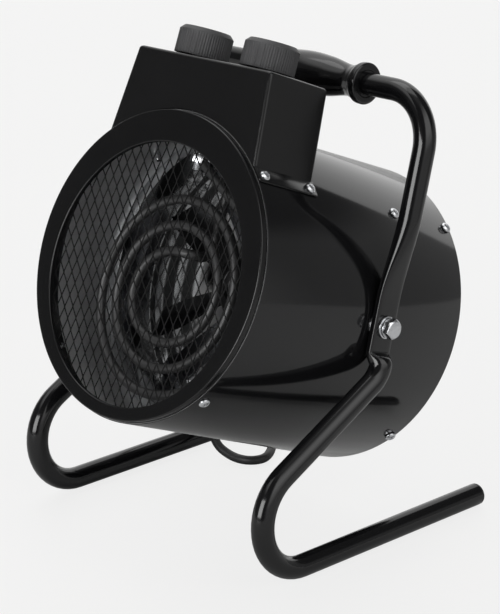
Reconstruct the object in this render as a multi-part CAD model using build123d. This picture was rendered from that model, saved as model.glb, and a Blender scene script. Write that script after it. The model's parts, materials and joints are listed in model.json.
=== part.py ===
from build123d import *
import math
import os

# Drum fan heater on a bent-tube stand, in millimetres.
# +Z is up, the air leaves towards -Y, and +X is the side with the near leg.
# The origin lies on the floor, at the middle of the object's outline without its cord.

# ---------------------------------------------------------------- driving dimensions
# Drum
drum_radius = 110.0
drum_wall = 1.0
drum_front = 122.0          # pivot axis to the front edge of the casing
drum_rear = 85.5            # pivot axis to the rear edge of the casing
drum_tilt = 22.0            # nose-up angle in the pose of the photograph
pivot_height = 158.5
screw_angle = 45.0          # every ring of casing screws sits at this angle from level

# Front bezel and net
bezel_depth = 4.7           # how far the bezel stands out of the casing
bezel_skirt = 16.0          # how far the skirt reaches back into the casing
bezel_sheet = 1.2
bezel_round = 1.0           # outside corner between its face and its skirt
opening_margin = 9.5        # bezel face under the opening, at its narrowest
opening_drop = 6.6          # the opening sits lower than the drum's axis
lip_length = 3.6
net_margin = 7.4            # net edge behind the opening's edge
net_sheet = 1.0
net_pitch_x = 9.6           # across a diamond
net_pitch_h = 19.2          # along a diamond
net_turn = 13.8             # the diamonds lean this far from upright
net_strand = 1.2
front_screw_inset = 6.5     # casing edge to the front screws

# Air duct, motor and fan
duct_room = 7.5             # casing to the duct
duct_sheet = 0.8
duct_front = 55.0
duct_rear = 30.0
motor_radius = 36.0
motor_length = 34.0
bell_length = 12.0
bell_radius = 33.0
bell_round = 4.0
boss_radius = 12.0          # bearing boss of the front bell, through the bracket
boss_length = 5.5           # from the bell's front face
bearing_end = 3.0           # closed end of the rear bell, behind the shaft
stator_air = 2.0            # room round the shaft inside the stator
shaft_stand_out = 3.0       # shaft in front of the fan's hub
bracket_sheet = 1.5
bracket_arm = 22.0
bracket_hub = 44.0
bracket_tab = 22.0
bracket_screw_s = -22.0
shaft_radius = 4.0
fan_tip_gap = 10.7
fan_hub_radius = 20.0
fan_hub_length = 16.0
fan_center_s = 26.0
fan_blades = 6
blade_sheet = 1.2
blade_chord = 44.0
blade_root = 19.4           # chord where a blade leaves the hub
blade_shoulder = 67.5       # radius where its leading edge is widest
blade_pitch = 32.0

# Rear grille
grille_sheet = 1.2
grille_skirt = 14.0
grille_rings = 6
grille_slot = 7.0
grille_pitch = 14.0
grille_center = 16.0
grille_spokes = 6
grille_spoke_width = 7.0
rear_screw_inset = 4.5

# Heating element, one tube wound in a flat spiral
element_radius = 3.5
element_s = 96.0
spiral_margin = 15.5        # opening's edge to the centreline of the outermost turn
spiral_step = 8.6           # each half turn is this much tighter than the last
spiral_half_turns = 5
spiral_offset = 1.7         # centre of the outermost half turn, under the opening's centre
spiral_leave_angle = 40.0   # where the outer end leaves the spiral, from level
leave_run = 8.0             # from there to the start of the straight stretch
leave_bend = 30.0
front_leg_x = -4.0
front_leg_corner = 8.5      # bracket plate down to the front leg's corner
front_leg_bend = 6.0
back_leg_bend = 10.0
leg_top_room = 5.0          # casing down to the top of both legs
bracket_plate_room = 21.0   # casing down to the bracket plate
bracket_plate_sheet = 1.5
bracket_plate_margin = 8.0
element_nut_flats = 11.0
element_nut_height = 5.0
insulator_radius = 5.2
insulator_height = 6.0
stud_radius = 2.0
stud_height = 8.0           # how far the stud stands out of its insulator

# Control box
box_sheet = 1.0
box_rise = 37.6             # casing to the top of the box
box_top_half = 66.3
box_foot_run = 4.0          # the sides are drawn on below the foot before they are trimmed
box_rear_s = 63.3
box_edge_radius = 2.4
flange_inner = 6.2          # screw row to the foot of the box's side
flange_outer = 5.5          # screw row to the flange's free edge
box_screw_inset = 6.2
window_margin = 6.0         # opening under the box, along the drum, past the element's legs
window_margin_x = 12.0
knob_x = 33.0
knob_radius = 19.5
knob_height = 20.0
knob_lift = 1.6
knob_chamfer = 3.0
knob_wall = 2.2
knob_flutes = 24
knob_flute_radius = 1.1
knob_flute_offset = 0.5     # flute centres outside the knob's side
knob_boss_radius = 6.6
knob_land = 1.0             # solid above the spindle's end
spindle_radius = 3.0
neck_radius = 4.8
neck_above = 1.2
switch_side = 32.0
control_room = 10.3         # casing to the underside of the selector switch
thermostat_radius = 17.0
thermostat_room = 16.3      # casing to the underside of the thermostat
block_width = 54.0
block_depth = 8.0
block_height = 14.0
block_ways = 5
block_pitch = 9.0
block_hole_radius = 2.5
cutout_radius = 8.0
cutout_height = 7.0
cutout_angle = 60.0
cutout_gap = 3.0            # duct flange to the cutout

# Screws
screw_radius = 2.0
screw_head_radius = 4.0
screw_head_height = 2.6
screw_length = 9.0
recess_length = 4.4
recess_width = 0.9
recess_depth = 1.3

# Stand
tube_radius = 8.0
tube_wall = 1.2
leg_lean = 16.5             # backward lean of the upper legs
handle_reach = 161.5        # pivot axis to the handle's axis
corner_radius = 38.0
knee_reach = 34.1           # pivot axis down to the knee's corner
knee_radius = 21.0
shin_slope = 27.1           # fall of the lower legs towards the front
front_bend_radius = 37.0
foot_rear = 93.0            # pivot axis back to the tube's end
flat_width = 21.0
flat_thickness = 5.5
flat_corner = 2.0
flat_above = 18.0
flat_below = 19.0
taper_above = 20.0
grip_half = 56.0
grip_flare = 14.9
grip_rim = 5.0              # width of the rounded rim at each end
grip_neck = 11.0
grip_neck_x = 40.0
grip_belly = 15.5
cap_stem = 12.0
cap_head = 2.0

# Pivot hardware
bolt_radius = 4.0
bolt_flats = 13.0
bolt_head = 5.3
bolt_rim = 0.7              # the head's corners are turned off at this slant
nut_height = 6.5
spacer_thickness = 0.7
spacer_radius = 10.0
spacer_room = 1.0           # casing to the inner side of the leg tube
washer_radius = 8.0
washer_thickness = 1.6
spring_washer_radius = 7.3
spring_washer_thickness = 2.2
spring_washer_cut = 1.6

# Cord, gland and plug
cord_diameter = 7.0
gland_s = -58.0
gland_thread = 8.0
gland_hex = 20.0
gland_hex_length = 6.0
gland_inside = 6.0
locknut_height = 4.0
relief_length = 24.0
relief_base = 8.0           # radius where the tapered sleeve seats on the gland
relief_tip = 4.8
coil_center = (-155.0, 160.0)   # measured from the pivot axis
coil_radius = 50.0
coil_pitch = 7.8
coil_layer_rise = 7.6
coil_half_turns_in = 5
coil_half_turns_out = 4
plug_radius = 18.0
plug_face = 9.0
plug_body_length = 26.0
plug_neck_radius = 6.0
plug_neck_length = 15.0
plug_shoulder = 3.0         # step from the neck to the grip
plug_taper = 0.8            # grip's far end as a share of the face
pin_radius = 2.4
pin_length = 19.0
pin_spacing = 19.0

# Clearances
run_clearance = 0.05        # a shaft in its bore, on the radius
pass_clearance = 0.2        # a screw or thread in its hole, on the radius
seat_gap = 0.3              # between a seated piece and what carries it
face_gap = 0.15             # between clamped flat faces that still turn
floor_gap = 0.1

# ---------------------------------------------------------------- values worked out
tilt = math.radians(drum_tilt)
lean = math.radians(leg_lean)
shin = math.radians(shin_slope)
bezel_front = drum_front + bezel_depth
casing_bore = drum_radius - drum_wall
bezel_radius = casing_bore - seat_gap
leg_x = drum_radius + spacer_room + tube_radius
flat_inner_x = drum_radius + spacer_room
flat_outer_x = flat_inner_x + flat_thickness
front_screw_s = drum_front - front_screw_inset
rear_screw_s = rear_screw_inset - drum_rear
box_front_screw_s = front_screw_s
box_rear_screw_s = box_rear_s + box_screw_inset
net_front = bezel_front - lip_length - seat_gap
knob_s = (drum_front + box_rear_s) / 2
cord_radius = cord_diameter / 2
cord_floor = cord_radius + floor_gap
gland_face_x = -(drum_radius + seat_gap + gland_hex_length)
relief_tip_x = gland_face_x - relief_length

# The outline's ends along Y, from the pivot axis, give the origin's place.
bezel_corner_s = bezel_front - bezel_round
bezel_corner_h = bezel_radius - bezel_round
front_end = bezel_corner_s * math.cos(tilt) + bezel_corner_h * math.sin(tilt) + bezel_round
rear_end = drum_rear * math.cos(tilt) + drum_radius * math.sin(tilt)
pivot_y = (front_end - rear_end) / 2


# Openings, duct, fan and element follow the casing.
opening_radius = bezel_radius - opening_drop - opening_margin
net_radius = opening_radius + net_margin
duct_radius = casing_bore - duct_room
fan_radius = duct_radius - duct_sheet - fan_tip_gap
spiral_outer = opening_radius - spiral_margin
spiral_drop = opening_drop + spiral_offset
leg_top = casing_bore - leg_top_room
bracket_plate_h = casing_bore - bracket_plate_room
front_leg_corner_h = bracket_plate_h - front_leg_corner
cutout_s = duct_front + cutout_gap + cutout_radius

# The box stands on the casing, and its feet end where the flanges start.
box_top_h = drum_radius + box_rise
flange_radius = drum_radius + seat_gap + box_sheet
foot_angle = math.radians(90 - screw_angle) - flange_inner / flange_radius
box_foot_x = flange_radius * math.sin(foot_angle)
box_foot_h = flange_radius * math.cos(foot_angle)
knob_base_h = box_top_h + knob_lift
control_top_h = box_top_h - box_sheet - seat_gap
switch_height = control_top_h - drum_radius - control_room
thermostat_height = control_top_h - drum_radius - thermostat_room


# ---------------------------------------------------------------- helpers
def in_drum(shape):
    """Place a shape from the drum's own frame, front towards -Y, at the pivot and tilted."""
    return Pos(0, pivot_y, pivot_height) * Rot(-drum_tilt, 0, 0) * shape


def bar_s(radius, s_low, s_high, x=0.0, h=0.0):
    """Cylinder along the drum's axis; s grows towards the front."""
    middle = Pos(x, -(s_low + s_high) / 2, h)
    return middle * Rot(90, 0, 0) * Cylinder(radius, s_high - s_low)


def ring_s(outer, inner, s_low, s_high):
    return bar_s(outer, s_low, s_high) - bar_s(inner, s_low - 1, s_high + 1)


def bar_x(radius, x_low, x_high, s=0.0, h=0.0):
    middle = Pos((x_low + x_high) / 2, -s, h)
    return middle * Rot(0, 90, 0) * Cylinder(radius, x_high - x_low)


def bar_h(radius, h_low, h_high, x, s):
    return Pos(x, -s, (h_low + h_high) / 2) * Cylinder(radius, h_high - h_low)


def block(x_low, x_high, s_low, s_high, h_low, h_high):
    middle = Pos((x_low + x_high) / 2, -(s_low + s_high) / 2, (h_low + h_high) / 2)
    return middle * Box(x_high - x_low, s_high - s_low, h_high - h_low)


def hexagon(flats, height):
    return extrude(RegularPolygon(flats / 2, 6, major_radius=False), height)


def radial(angle, s, shape):
    """Stand a shape on the drum's axis so that its +Z points outwards at the angle from +X."""
    return Pos(0, -s, 0) * Rot(0, 90 - angle, 0) * shape


def radial_hole(angle, s, radius):
    """Cutter through the casing's wall at one angle."""
    length = drum_radius - opening_radius + 2 * screw_head_height
    return radial(angle, s, Pos(0, 0, drum_radius - length / 4) * Cylinder(radius, length))


def pan_screw(seat_radius):
    """Pan-head screw with a cross recess, its head seated at a radius, pointing inwards."""
    head = Cylinder(screw_head_radius, screw_head_height)
    head = fillet(head.edges().group_by(Axis.Z)[-1], screw_head_height * 0.6)
    head = Pos(0, 0, screw_head_height / 2) * head
    for turn in (0, 90):
        slot = Box(recess_length, recess_width, recess_depth)
        head -= Pos(0, 0, screw_head_height - recess_depth / 2) * Rot(0, 0, turn) * slot
    shank = Pos(0, 0, -screw_length / 2) * Cylinder(screw_radius, screw_length)
    return Pos(0, 0, seat_radius) * (head + shank)


def screws_at(angles, s, seat_radius):
    return [radial(angle, s, pan_screw(seat_radius)) for angle in angles]


upper_angles = (screw_angle, 180 - screw_angle)
lower_angles = (-screw_angle, 180 + screw_angle)
all_angles = upper_angles + lower_angles


# ---------------------------------------------------------------- drum
def drum_casing():
    casing = ring_s(drum_radius, casing_bore, -drum_rear, drum_front)
    hole = screw_radius + pass_clearance
    for angle in all_angles:
        casing -= radial_hole(angle, front_screw_s, hole)
        casing -= radial_hole(angle, bracket_screw_s, hole)
        casing -= radial_hole(angle, rear_screw_s, hole)
    for angle in upper_angles:
        casing -= radial_hole(angle, box_rear_screw_s, hole)
    casing -= bar_x(bolt_radius + pass_clearance, -drum_radius - 1, drum_radius + 1)
    casing -= bar_x(gland_thread + pass_clearance, -drum_radius - 1, 0, gland_s, 0)
    window = block(front_leg_x - window_margin_x, back_leg_x() + window_margin_x,
                   back_leg_s() - window_margin, element_s + window_margin, 0, drum_radius + 1)
    return casing - window


def front_bezel():
    face = bar_s(bezel_radius, bezel_front - bezel_sheet, bezel_front)
    skirt = ring_s(bezel_radius, bezel_radius - bezel_sheet, drum_front - bezel_skirt, bezel_front)
    lip = bar_s(opening_radius + bezel_sheet, bezel_front - lip_length, bezel_front, 0, -opening_drop)
    bezel = face + skirt + lip
    bezel -= bar_s(opening_radius, drum_front - bezel_skirt, bezel_front + 1, 0, -opening_drop)
    front = bezel.edges().filter_by(GeomType.CIRCLE).group_by(Axis.Y)[0]
    bezel = fillet(front, min(bezel_round, bezel_sheet * 0.9))
    for angle in all_angles:
        bezel -= radial_hole(angle, front_screw_s, screw_radius + pass_clearance)
    return bezel


def front_net():
    """Expanded-metal net: one disc with rows of leaning diamond holes."""
    disc = Wire.make_circle(net_radius)
    half_x = (net_pitch_x - net_strand) / 2
    half_h = (net_pitch_h - net_strand * net_pitch_h / net_pitch_x) / 2
    reach = opening_radius - net_strand
    columns = int(reach / net_pitch_x) + 1
    rows = int(reach / net_pitch_h) + 1
    holes = []
    for column in range(-2 * columns, 2 * columns + 1):
        for row in range(-2 * rows, 2 * rows + 1):
            x = column * net_pitch_x / 2
            h = row * net_pitch_h / 2
            if (column + row) % 2:
                continue
            if math.hypot(abs(x) + half_x / 2, abs(h) + half_h / 2) > reach:
                continue
            corners = [(x - half_x, h), (x, h - half_h), (x + half_x, h), (x, h + half_h)]
            holes.append(Wire.make_polygon([Vector(a, b, 0) for a, b in corners], close=True))
    print("net holes", len(holes))
    sheet = extrude(Face(disc, holes), net_sheet)
    return Pos(0, -net_front, -opening_drop) * Rot(-90, 0, 0) * Rot(0, 0, -net_turn) * sheet


def fan_duct():
    """Inner sheet duct round the fan, with a flange at each end that meets the casing."""
    duct = bar_s(duct_radius, -duct_rear, duct_front)
    for s in (-duct_rear, duct_front - duct_sheet):
        duct += bar_s(casing_bore - seat_gap, s, s + duct_sheet)
    duct -= bar_s(duct_radius - duct_sheet, -duct_rear - 1, duct_front + 1)
    for angle in all_angles:
        tab_room = block(-bracket_arm / 2 - 1, bracket_arm / 2 + 1, -duct_rear - 1,
                         motor_front_s() + bracket_sheet + 1, duct_radius / 2, drum_radius)
        duct -= Rot(0, 90 - angle, 0) * tab_room
    return duct


# ---------------------------------------------------------------- heating element
def back_leg_x():
    return back_leg_bend


def back_leg_s():
    return element_s - 2 * back_leg_bend


def heating_element():
    """One tube: leg down, flat spiral clockwise and inwards, then back and up behind it."""
    def at(x, h, s=element_s):
        return Vector(x, -s, h)

    leave = math.radians(spiral_leave_angle)
    start_x = spiral_outer * math.cos(leave)
    start_h = spiral_outer * math.sin(leave) - spiral_drop
    turn_x = start_x - leave_run * math.sin(leave)
    turn_h = start_h + leave_run * math.cos(leave)
    leg = FilletPolyline(at(front_leg_x, leg_top), at(front_leg_x, front_leg_corner_h),
                         at(turn_x, turn_h), at(start_x, start_h), radius=[front_leg_bend, leave_bend])
    edges = list(leg.edges())
    half = math.radians((spiral_leave_angle - 90) / 2)
    middle = at(spiral_outer * math.cos(half), spiral_outer * math.sin(half) - spiral_drop)
    h = -spiral_drop - spiral_outer
    edges.append(Edge.make_three_point_arc(at(start_x, start_h), middle, at(0, h)))
    for turn in range(spiral_half_turns):
        radius = spiral_outer - spiral_step * (turn + 1)
        side = -1 if turn % 2 == 0 else 1
        next_h = h - side * 2 * radius
        arc_middle = at(side * radius, (h + next_h) / 2)
        edges.append(Edge.make_three_point_arc(at(0, h), arc_middle, at(0, next_h)))
        h = next_h
    bend = back_leg_bend
    edges.append(quarter_arc(at(0, h), Vector(1, 0, 0), Vector(0, 1, 0), bend))
    edges.append(quarter_arc(at(bend, h, element_s - bend), Vector(0, 1, 0), Vector(0, 0, 1), bend))
    edges.append(Edge.make_line(at(bend, h + bend, back_leg_s()), at(bend, leg_top, back_leg_s())))
    path = Wire(edges)
    start = Plane(origin=at(front_leg_x, leg_top), z_dir=(0, 0, -1))
    tube = sweep(start * Circle(element_radius), path=path)
    report_tube("heating element", tube, path.length, element_radius)
    return tube


def quarter_arc(start, heading, turned, radius):
    """Quarter circle from a point, starting along one direction and ending along another."""
    middle = start + heading * (radius * math.sin(math.pi / 4)) + turned * (radius * (1 - math.sqrt(0.5)))
    return Edge.make_three_point_arc(start, middle, start + (heading + turned) * radius)


def element_ends():
    return ((front_leg_x, element_s), (back_leg_x(), back_leg_s()))


def element_bracket():
    """Bent plate under the casing's top that carries both ends of the element."""
    x_low = front_leg_x - bracket_plate_margin
    x_high = back_leg_x() + bracket_plate_margin
    s_low = back_leg_s() - bracket_plate_margin
    s_high = element_s + bracket_plate_margin
    plate = block(x_low, x_high, s_low, s_high, bracket_plate_h, bracket_plate_h + bracket_plate_sheet)
    for x in (x_low, x_high - bracket_plate_sheet):
        outer_x = max(abs(x), abs(x + bracket_plate_sheet))
        top = math.sqrt((casing_bore - seat_gap) ** 2 - outer_x ** 2)
        plate += block(x, x + bracket_plate_sheet, s_low, s_high, bracket_plate_h, top)
    for x, s in element_ends():
        plate -= bar_h(element_radius + face_gap, bracket_plate_h - 1, leg_top, x, s)
    return plate


def element_nuts():
    nuts = []
    for x, s in element_ends():
        nut = hexagon(element_nut_flats, element_nut_height)
        nut = Pos(x, -s, bracket_plate_h - element_nut_height - face_gap) * nut
        nuts.append(nut - bar_h(element_radius + face_gap, 0, leg_top, x, s))
    return nuts


def element_insulators():
    insulators = []
    for x, s in element_ends():
        collar = bar_h(insulator_radius, leg_top, leg_top + insulator_height, x, s)
        insulators.append(collar - bar_h(stud_radius + face_gap, leg_top - 1, drum_radius * 2, x, s))
    return insulators


def element_studs():
    return [bar_h(stud_radius, leg_top, leg_top + insulator_height + stud_height, x, s)
            for x, s in element_ends()]


# ---------------------------------------------------------------- motor and fan
def motor_front_s():
    """Front face of the motor, which is clamped to the back of its bracket."""
    return fan_center_s - fan_hub_length / 2 - 2 * bell_length


def motor_bracket():
    """Four-armed plate with a tab at the end of each arm, screwed to the casing."""
    s_low = motor_front_s()
    s_high = s_low + bracket_sheet
    arm_end = math.sqrt((casing_bore - seat_gap) ** 2 - (bracket_arm / 2) ** 2)
    bracket = bar_s(bracket_hub, s_low, s_high)
    tab_rear = bracket_screw_s - bracket_tab / 2
    for angle in all_angles:
        arm = block(-bracket_arm / 2, bracket_arm / 2, s_low, s_high, 0, arm_end)
        tab = block(-bracket_arm / 2, bracket_arm / 2, tab_rear, s_high, arm_end - bracket_sheet, arm_end)
        bracket += Rot(0, 90 - angle, 0) * (arm + tab)
    for angle in all_angles:
        bracket -= radial_hole(angle, bracket_screw_s, screw_radius + pass_clearance)
    return bracket - bar_s(boss_radius, s_low - 1, s_high + 1)


def motor_front_bell():
    s = motor_front_s()
    bell = bar_s(bell_radius, s - bell_length, s)
    bell += bar_s(boss_radius - seat_gap, s, s + boss_length)
    return bell - bar_s(shaft_radius + run_clearance, s - bell_length - 1, s + 2 * bell_length)


def motor_stator():
    s = motor_front_s() - bell_length
    stator = bar_s(motor_radius, s - motor_length, s)
    return stator - bar_s(shaft_radius + stator_air, s - motor_length - 1, s + 1)


def motor_rear_bell():
    s = motor_front_s() - bell_length - motor_length
    bell = bar_s(bell_radius, s - bell_length, s)
    bell = fillet(bell.edges().group_by(Axis.Y)[-1], min(bell_round, bell_length / 2))
    return bell - bar_s(shaft_radius + run_clearance, s - bell_length + bearing_end, s + 1)


def motor_shaft():
    rear = motor_front_s() - 2 * bell_length - motor_length + bearing_end + seat_gap
    return bar_s(shaft_radius, rear, fan_center_s + fan_hub_length / 2 + shaft_stand_out)


def fan_rotor():
    s_low = fan_center_s - fan_hub_length / 2
    rotor = bar_s(fan_hub_radius, s_low, s_low + fan_hub_length)
    for number in range(fan_blades):
        blade = fan_blade()
        rotor += Rot(0, number * 360 / fan_blades, 0) * blade
    rotor &= bar_s(fan_radius, s_low - blade_chord, s_low + blade_chord)
    return rotor - bar_s(shaft_radius, s_low - 1, s_low + fan_hub_length + 1)


def fan_blade():
    """A flat paddle that widens outwards, pitched about its own radial line."""
    inner = (fan_hub_radius + shaft_radius) / 2
    beyond = fan_radius + blade_sheet * 2
    half = blade_chord / 2
    outline = Polyline((-blade_root / 2, inner), (blade_root / 2, inner),
                       (half, blade_shoulder), (half, beyond), (-half, beyond), (-half, blade_shoulder),
                       close=True)
    paddle = extrude(make_face(outline), blade_sheet / 2, both=True)
    return Pos(0, -fan_center_s, 0) * Rot(0, 0, blade_pitch) * Rot(90, 0, 0) * paddle


# ---------------------------------------------------------------- rear grille
def rear_grille():
    """Cup of sheet metal inside the casing's rear edge, with rings of curved slots."""
    outer = casing_bore - seat_gap
    rear = -drum_rear
    plate = bar_s(outer, rear, rear + grille_sheet)
    skirt = ring_s(outer, outer - grille_sheet, rear, rear + grille_skirt)
    slots = None
    for ring in range(grille_rings):
        inner = grille_center + ring * grille_pitch
        band = ring_s(inner + grille_slot, inner, rear - 1, rear + grille_sheet + 1)
        slots = band if slots is None else slots + band
    for number in range(grille_spokes):
        spoke = block(-grille_spoke_width / 2, grille_spoke_width / 2, rear - 2, rear + grille_sheet + 2,
                      0, outer)
        slots -= Rot(0, number * 360 / grille_spokes, 0) * spoke
    grille = plate + skirt - slots
    for angle in all_angles:
        grille -= radial_hole(angle, rear_screw_s, screw_radius + pass_clearance)
    return grille


# ---------------------------------------------------------------- control box
def box_solid(inset, s_low, s_high):
    """The box's outline, drawn in by an inset, as a solid that runs down into the drum."""
    slant = math.atan2(box_foot_x - box_top_half, box_top_h - box_foot_h)
    shift = inset / math.cos(slant)
    top_h = box_top_h - inset
    top_half = box_top_half - shift + inset * math.tan(slant)
    low_h = box_foot_h - box_foot_run
    low_half = top_half + (top_h - low_h) * math.tan(slant)
    outline = Polyline((-low_half, low_h), (-top_half, top_h), (top_half, top_h), (low_half, low_h),
                       close=True)
    face = make_face(outline)
    return Pos(0, -s_low, 0) * Rot(90, 0, 0) * extrude(face, s_high - s_low)


def control_box():
    """Folded cover: front, top, rear and slanting sides, with a foot flange on each side."""
    outer = box_solid(0, box_rear_s, drum_front)
    side_middle = (box_top_h + box_foot_h - box_foot_run) / 2
    edges = outer.edges().group_by(Axis.Z)[-1] + outer.edges().filter_by(
        lambda e: abs(e.center().Z - side_middle) < box_edge_radius)
    outer = fillet(edges, box_edge_radius)
    cover = outer - box_solid(box_sheet, box_rear_s + box_sheet, drum_front - box_sheet)
    cover -= bar_s(drum_radius + seat_gap, box_rear_s - 1, drum_front + 1)
    below = block(-drum_radius, drum_radius, box_rear_s - 1, drum_front + 1, 0, box_foot_h - box_foot_run)
    cover -= below
    flange = block(-flange_inner - box_sheet, flange_outer, box_rear_s, drum_front,
                   flange_radius - box_sheet, flange_radius)
    flange = Rot(0, 90 - screw_angle, 0) * flange
    cover += flange
    cover += mirror(flange, Plane.YZ)
    for angle in upper_angles:
        for s in (box_front_screw_s, box_rear_screw_s):
            cover -= radial_hole(angle, s, screw_radius + pass_clearance)
    for x in (-knob_x, knob_x):
        cover -= bar_h(neck_radius + pass_clearance, box_top_h - 2 * box_sheet, box_top_h + 1, x, knob_s)
    return cover


def knob(x):
    """Hollow skirted knob with flutes round its side."""
    top = knob_base_h + knob_height
    body = bar_h(knob_radius, knob_base_h, top, x, knob_s)
    body = chamfer(body.edges().group_by(Axis.Z)[-1], knob_chamfer)
    hollow = bar_h(knob_radius - knob_wall, knob_base_h - 1, top - knob_wall - knob_chamfer, x, knob_s)
    boss = bar_h(knob_boss_radius, knob_base_h, top - knob_wall, x, knob_s)
    body = body - hollow + boss
    flute_reach = knob_radius + knob_flute_offset
    for number in range(knob_flutes):
        angle = math.radians(number * 360 / knob_flutes)
        flute_x = x + flute_reach * math.cos(angle)
        flute_s = knob_s + flute_reach * math.sin(angle)
        body -= bar_h(knob_flute_radius, knob_base_h - 1, top + 1, flute_x, flute_s)
    return body - bar_h(spindle_radius, knob_base_h - 1, top - knob_wall - knob_land, x, knob_s)


def spindle(x, body_height):
    low = control_top_h - body_height / 2
    return bar_h(spindle_radius, low, knob_base_h + knob_height - knob_wall - knob_land, x, knob_s)


def control_neck(x):
    return bar_h(neck_radius, control_top_h - 1, box_top_h + neck_above, x, knob_s)


def control_bore(x, body_height):
    low = control_top_h - body_height / 2 - 1
    return bar_h(spindle_radius + run_clearance, low, box_top_h + neck_above + 1, x, knob_s)


def selector_switch():
    half = switch_side / 2
    body = block(knob_x - half, knob_x + half, knob_s - half, knob_s + half,
                 control_top_h - switch_height, control_top_h)
    return body + control_neck(knob_x) - control_bore(knob_x, switch_height)


def thermostat():
    body = bar_h(thermostat_radius, control_top_h - thermostat_height, control_top_h, -knob_x, knob_s)
    return body + control_neck(-knob_x) - control_bore(-knob_x, thermostat_height)


def terminal_block():
    s_low = box_rear_s + box_sheet + seat_gap
    top = (drum_radius + control_top_h + block_height) / 2
    body = block(-block_width / 2, block_width / 2, s_low, s_low + block_depth, top - block_height, top)
    for number in range(block_ways):
        x = (number - (block_ways - 1) / 2) * block_pitch
        body -= bar_h(block_hole_radius, top - block_height / 2, top + 1, x, s_low + block_depth / 2)
    return body


def thermal_cutout():
    seat = math.sqrt((casing_bore - seat_gap) ** 2 - cutout_radius ** 2)
    disc = Pos(0, 0, seat - cutout_height / 2) * Cylinder(cutout_radius, cutout_height)
    return radial(cutout_angle, cutout_s, disc)


# ---------------------------------------------------------------- pivot hardware
def both_sides(shape):
    return [shape, mirror(shape, Plane.YZ)]


def pivot_spacers():
    ring = bar_x(spacer_radius, drum_radius + face_gap, drum_radius + face_gap + spacer_thickness)
    return both_sides(ring - bar_x(bolt_radius + face_gap, 0, drum_radius * 2))


def pivot_washers():
    low = flat_outer_x + face_gap
    ring = bar_x(washer_radius, low, low + washer_thickness)
    return both_sides(ring - bar_x(bolt_radius + face_gap, 0, drum_radius * 2))


def spring_washers():
    """Split spring washer with its cut left open."""
    low = flat_outer_x + face_gap + washer_thickness
    ring = bar_x(spring_washer_radius, low, low + spring_washer_thickness)
    ring -= bar_x(bolt_radius + face_gap, 0, drum_radius * 2)
    half_cut = spring_washer_cut / 2
    ring -= block(low - 1, low + spring_washer_thickness + 1, -half_cut, half_cut, 0,
                  spring_washer_radius + 1)
    return both_sides(ring)


def pivot_bolts():
    head_x = flat_outer_x + face_gap + washer_thickness + spring_washer_thickness
    shank_end = pivot_nut_seat() - nut_height
    shank = bar_x(bolt_radius, shank_end, head_x + 1)
    head = Pos(head_x, 0, 0) * Rot(0, 90, 0) * hexagon(bolt_flats, bolt_head)
    rim = Cone(bolt_flats / 2 + bolt_head, bolt_flats / 2 - bolt_rim, bolt_head,
               align=(Align.CENTER, Align.CENTER, Align.MIN))
    rim = Pos(head_x, 0, 0) * Rot(0, 90, 0) * rim
    return both_sides((head & rim) + shank)


def pivot_nut_seat():
    """Where the nuts' outer faces stop, so that their corners just clear the round casing."""
    return math.sqrt((casing_bore - seat_gap) ** 2 - (bolt_flats / math.sqrt(3)) ** 2)


def pivot_nuts():
    """Hexagon nuts fixed inside the casing."""
    nut = Pos(pivot_nut_seat() - nut_height, 0, 0) * Rot(0, 90, 0) * hexagon(bolt_flats, nut_height)
    return both_sides(nut - bar_x(bolt_radius, 0, drum_radius * 2))


# ---------------------------------------------------------------- stand
def leg_point(reach, x=0.0):
    """A point on the upper leg's line, measured from the pivot axis."""
    return Vector(x, pivot_y + reach * math.sin(lean), pivot_height + reach * math.cos(lean))


def leg_plane(reach, x):
    """A cross-section plane of the upper leg; its local X is the row's X."""
    return Plane(origin=leg_point(reach, x), x_dir=(1, 0, 0), z_dir=(0, math.sin(lean), math.cos(lean)))


def round_section(radius):
    corners = [22.5 + 45 * number for number in range(8)]
    edges = []
    for number, angle in enumerate(corners):
        points = []
        for turn in (angle, angle + 22.5, angle + 45):
            points.append((radius * math.cos(math.radians(turn)), radius * math.sin(math.radians(turn))))
        edges.append(Edge.make_three_point_arc(*[Vector(a, b, 0) for a, b in points]))
    return Wire(edges)


def flat_section(thickness, width, corner):
    """Flattened tube: eight edges that match the eight arcs of the round section."""
    half_x = thickness / 2
    half_y = width / 2
    cut = corner * (1 - math.sqrt(0.5))
    edges = []
    signs = ((1, 1), (-1, 1), (-1, -1), (1, -1))
    for number, (sign_x, sign_y) in enumerate(signs):
        side = Vector(sign_x * half_x, sign_y * (half_y - corner), 0)
        end = Vector(sign_x * (half_x - corner), sign_y * half_y, 0)
        middle = Vector(sign_x * (half_x - cut), sign_y * (half_y - cut), 0)
        first, last = (side, end) if number % 2 == 0 else (end, side)
        edges.append(Edge.make_three_point_arc(first, middle, last))
        next_x, next_y = signs[(number + 1) % 4]
        if number % 2 == 0:
            target = Vector(next_x * (half_x - corner), next_y * half_y, 0)
        else:
            target = Vector(next_x * half_x, next_y * (half_y - corner), 0)
        edges.append(Edge.make_line(last, target))
    return Wire(edges)


def leg_loft(low, low_wire, high, high_wire):
    low_reach, low_x = low
    high_reach, high_x = high
    sections = [leg_plane(low_reach, low_x).location * low_wire,
                leg_plane(high_reach, high_x).location * high_wire]
    return Solid.make_loft(sections, ruled=True)


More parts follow.
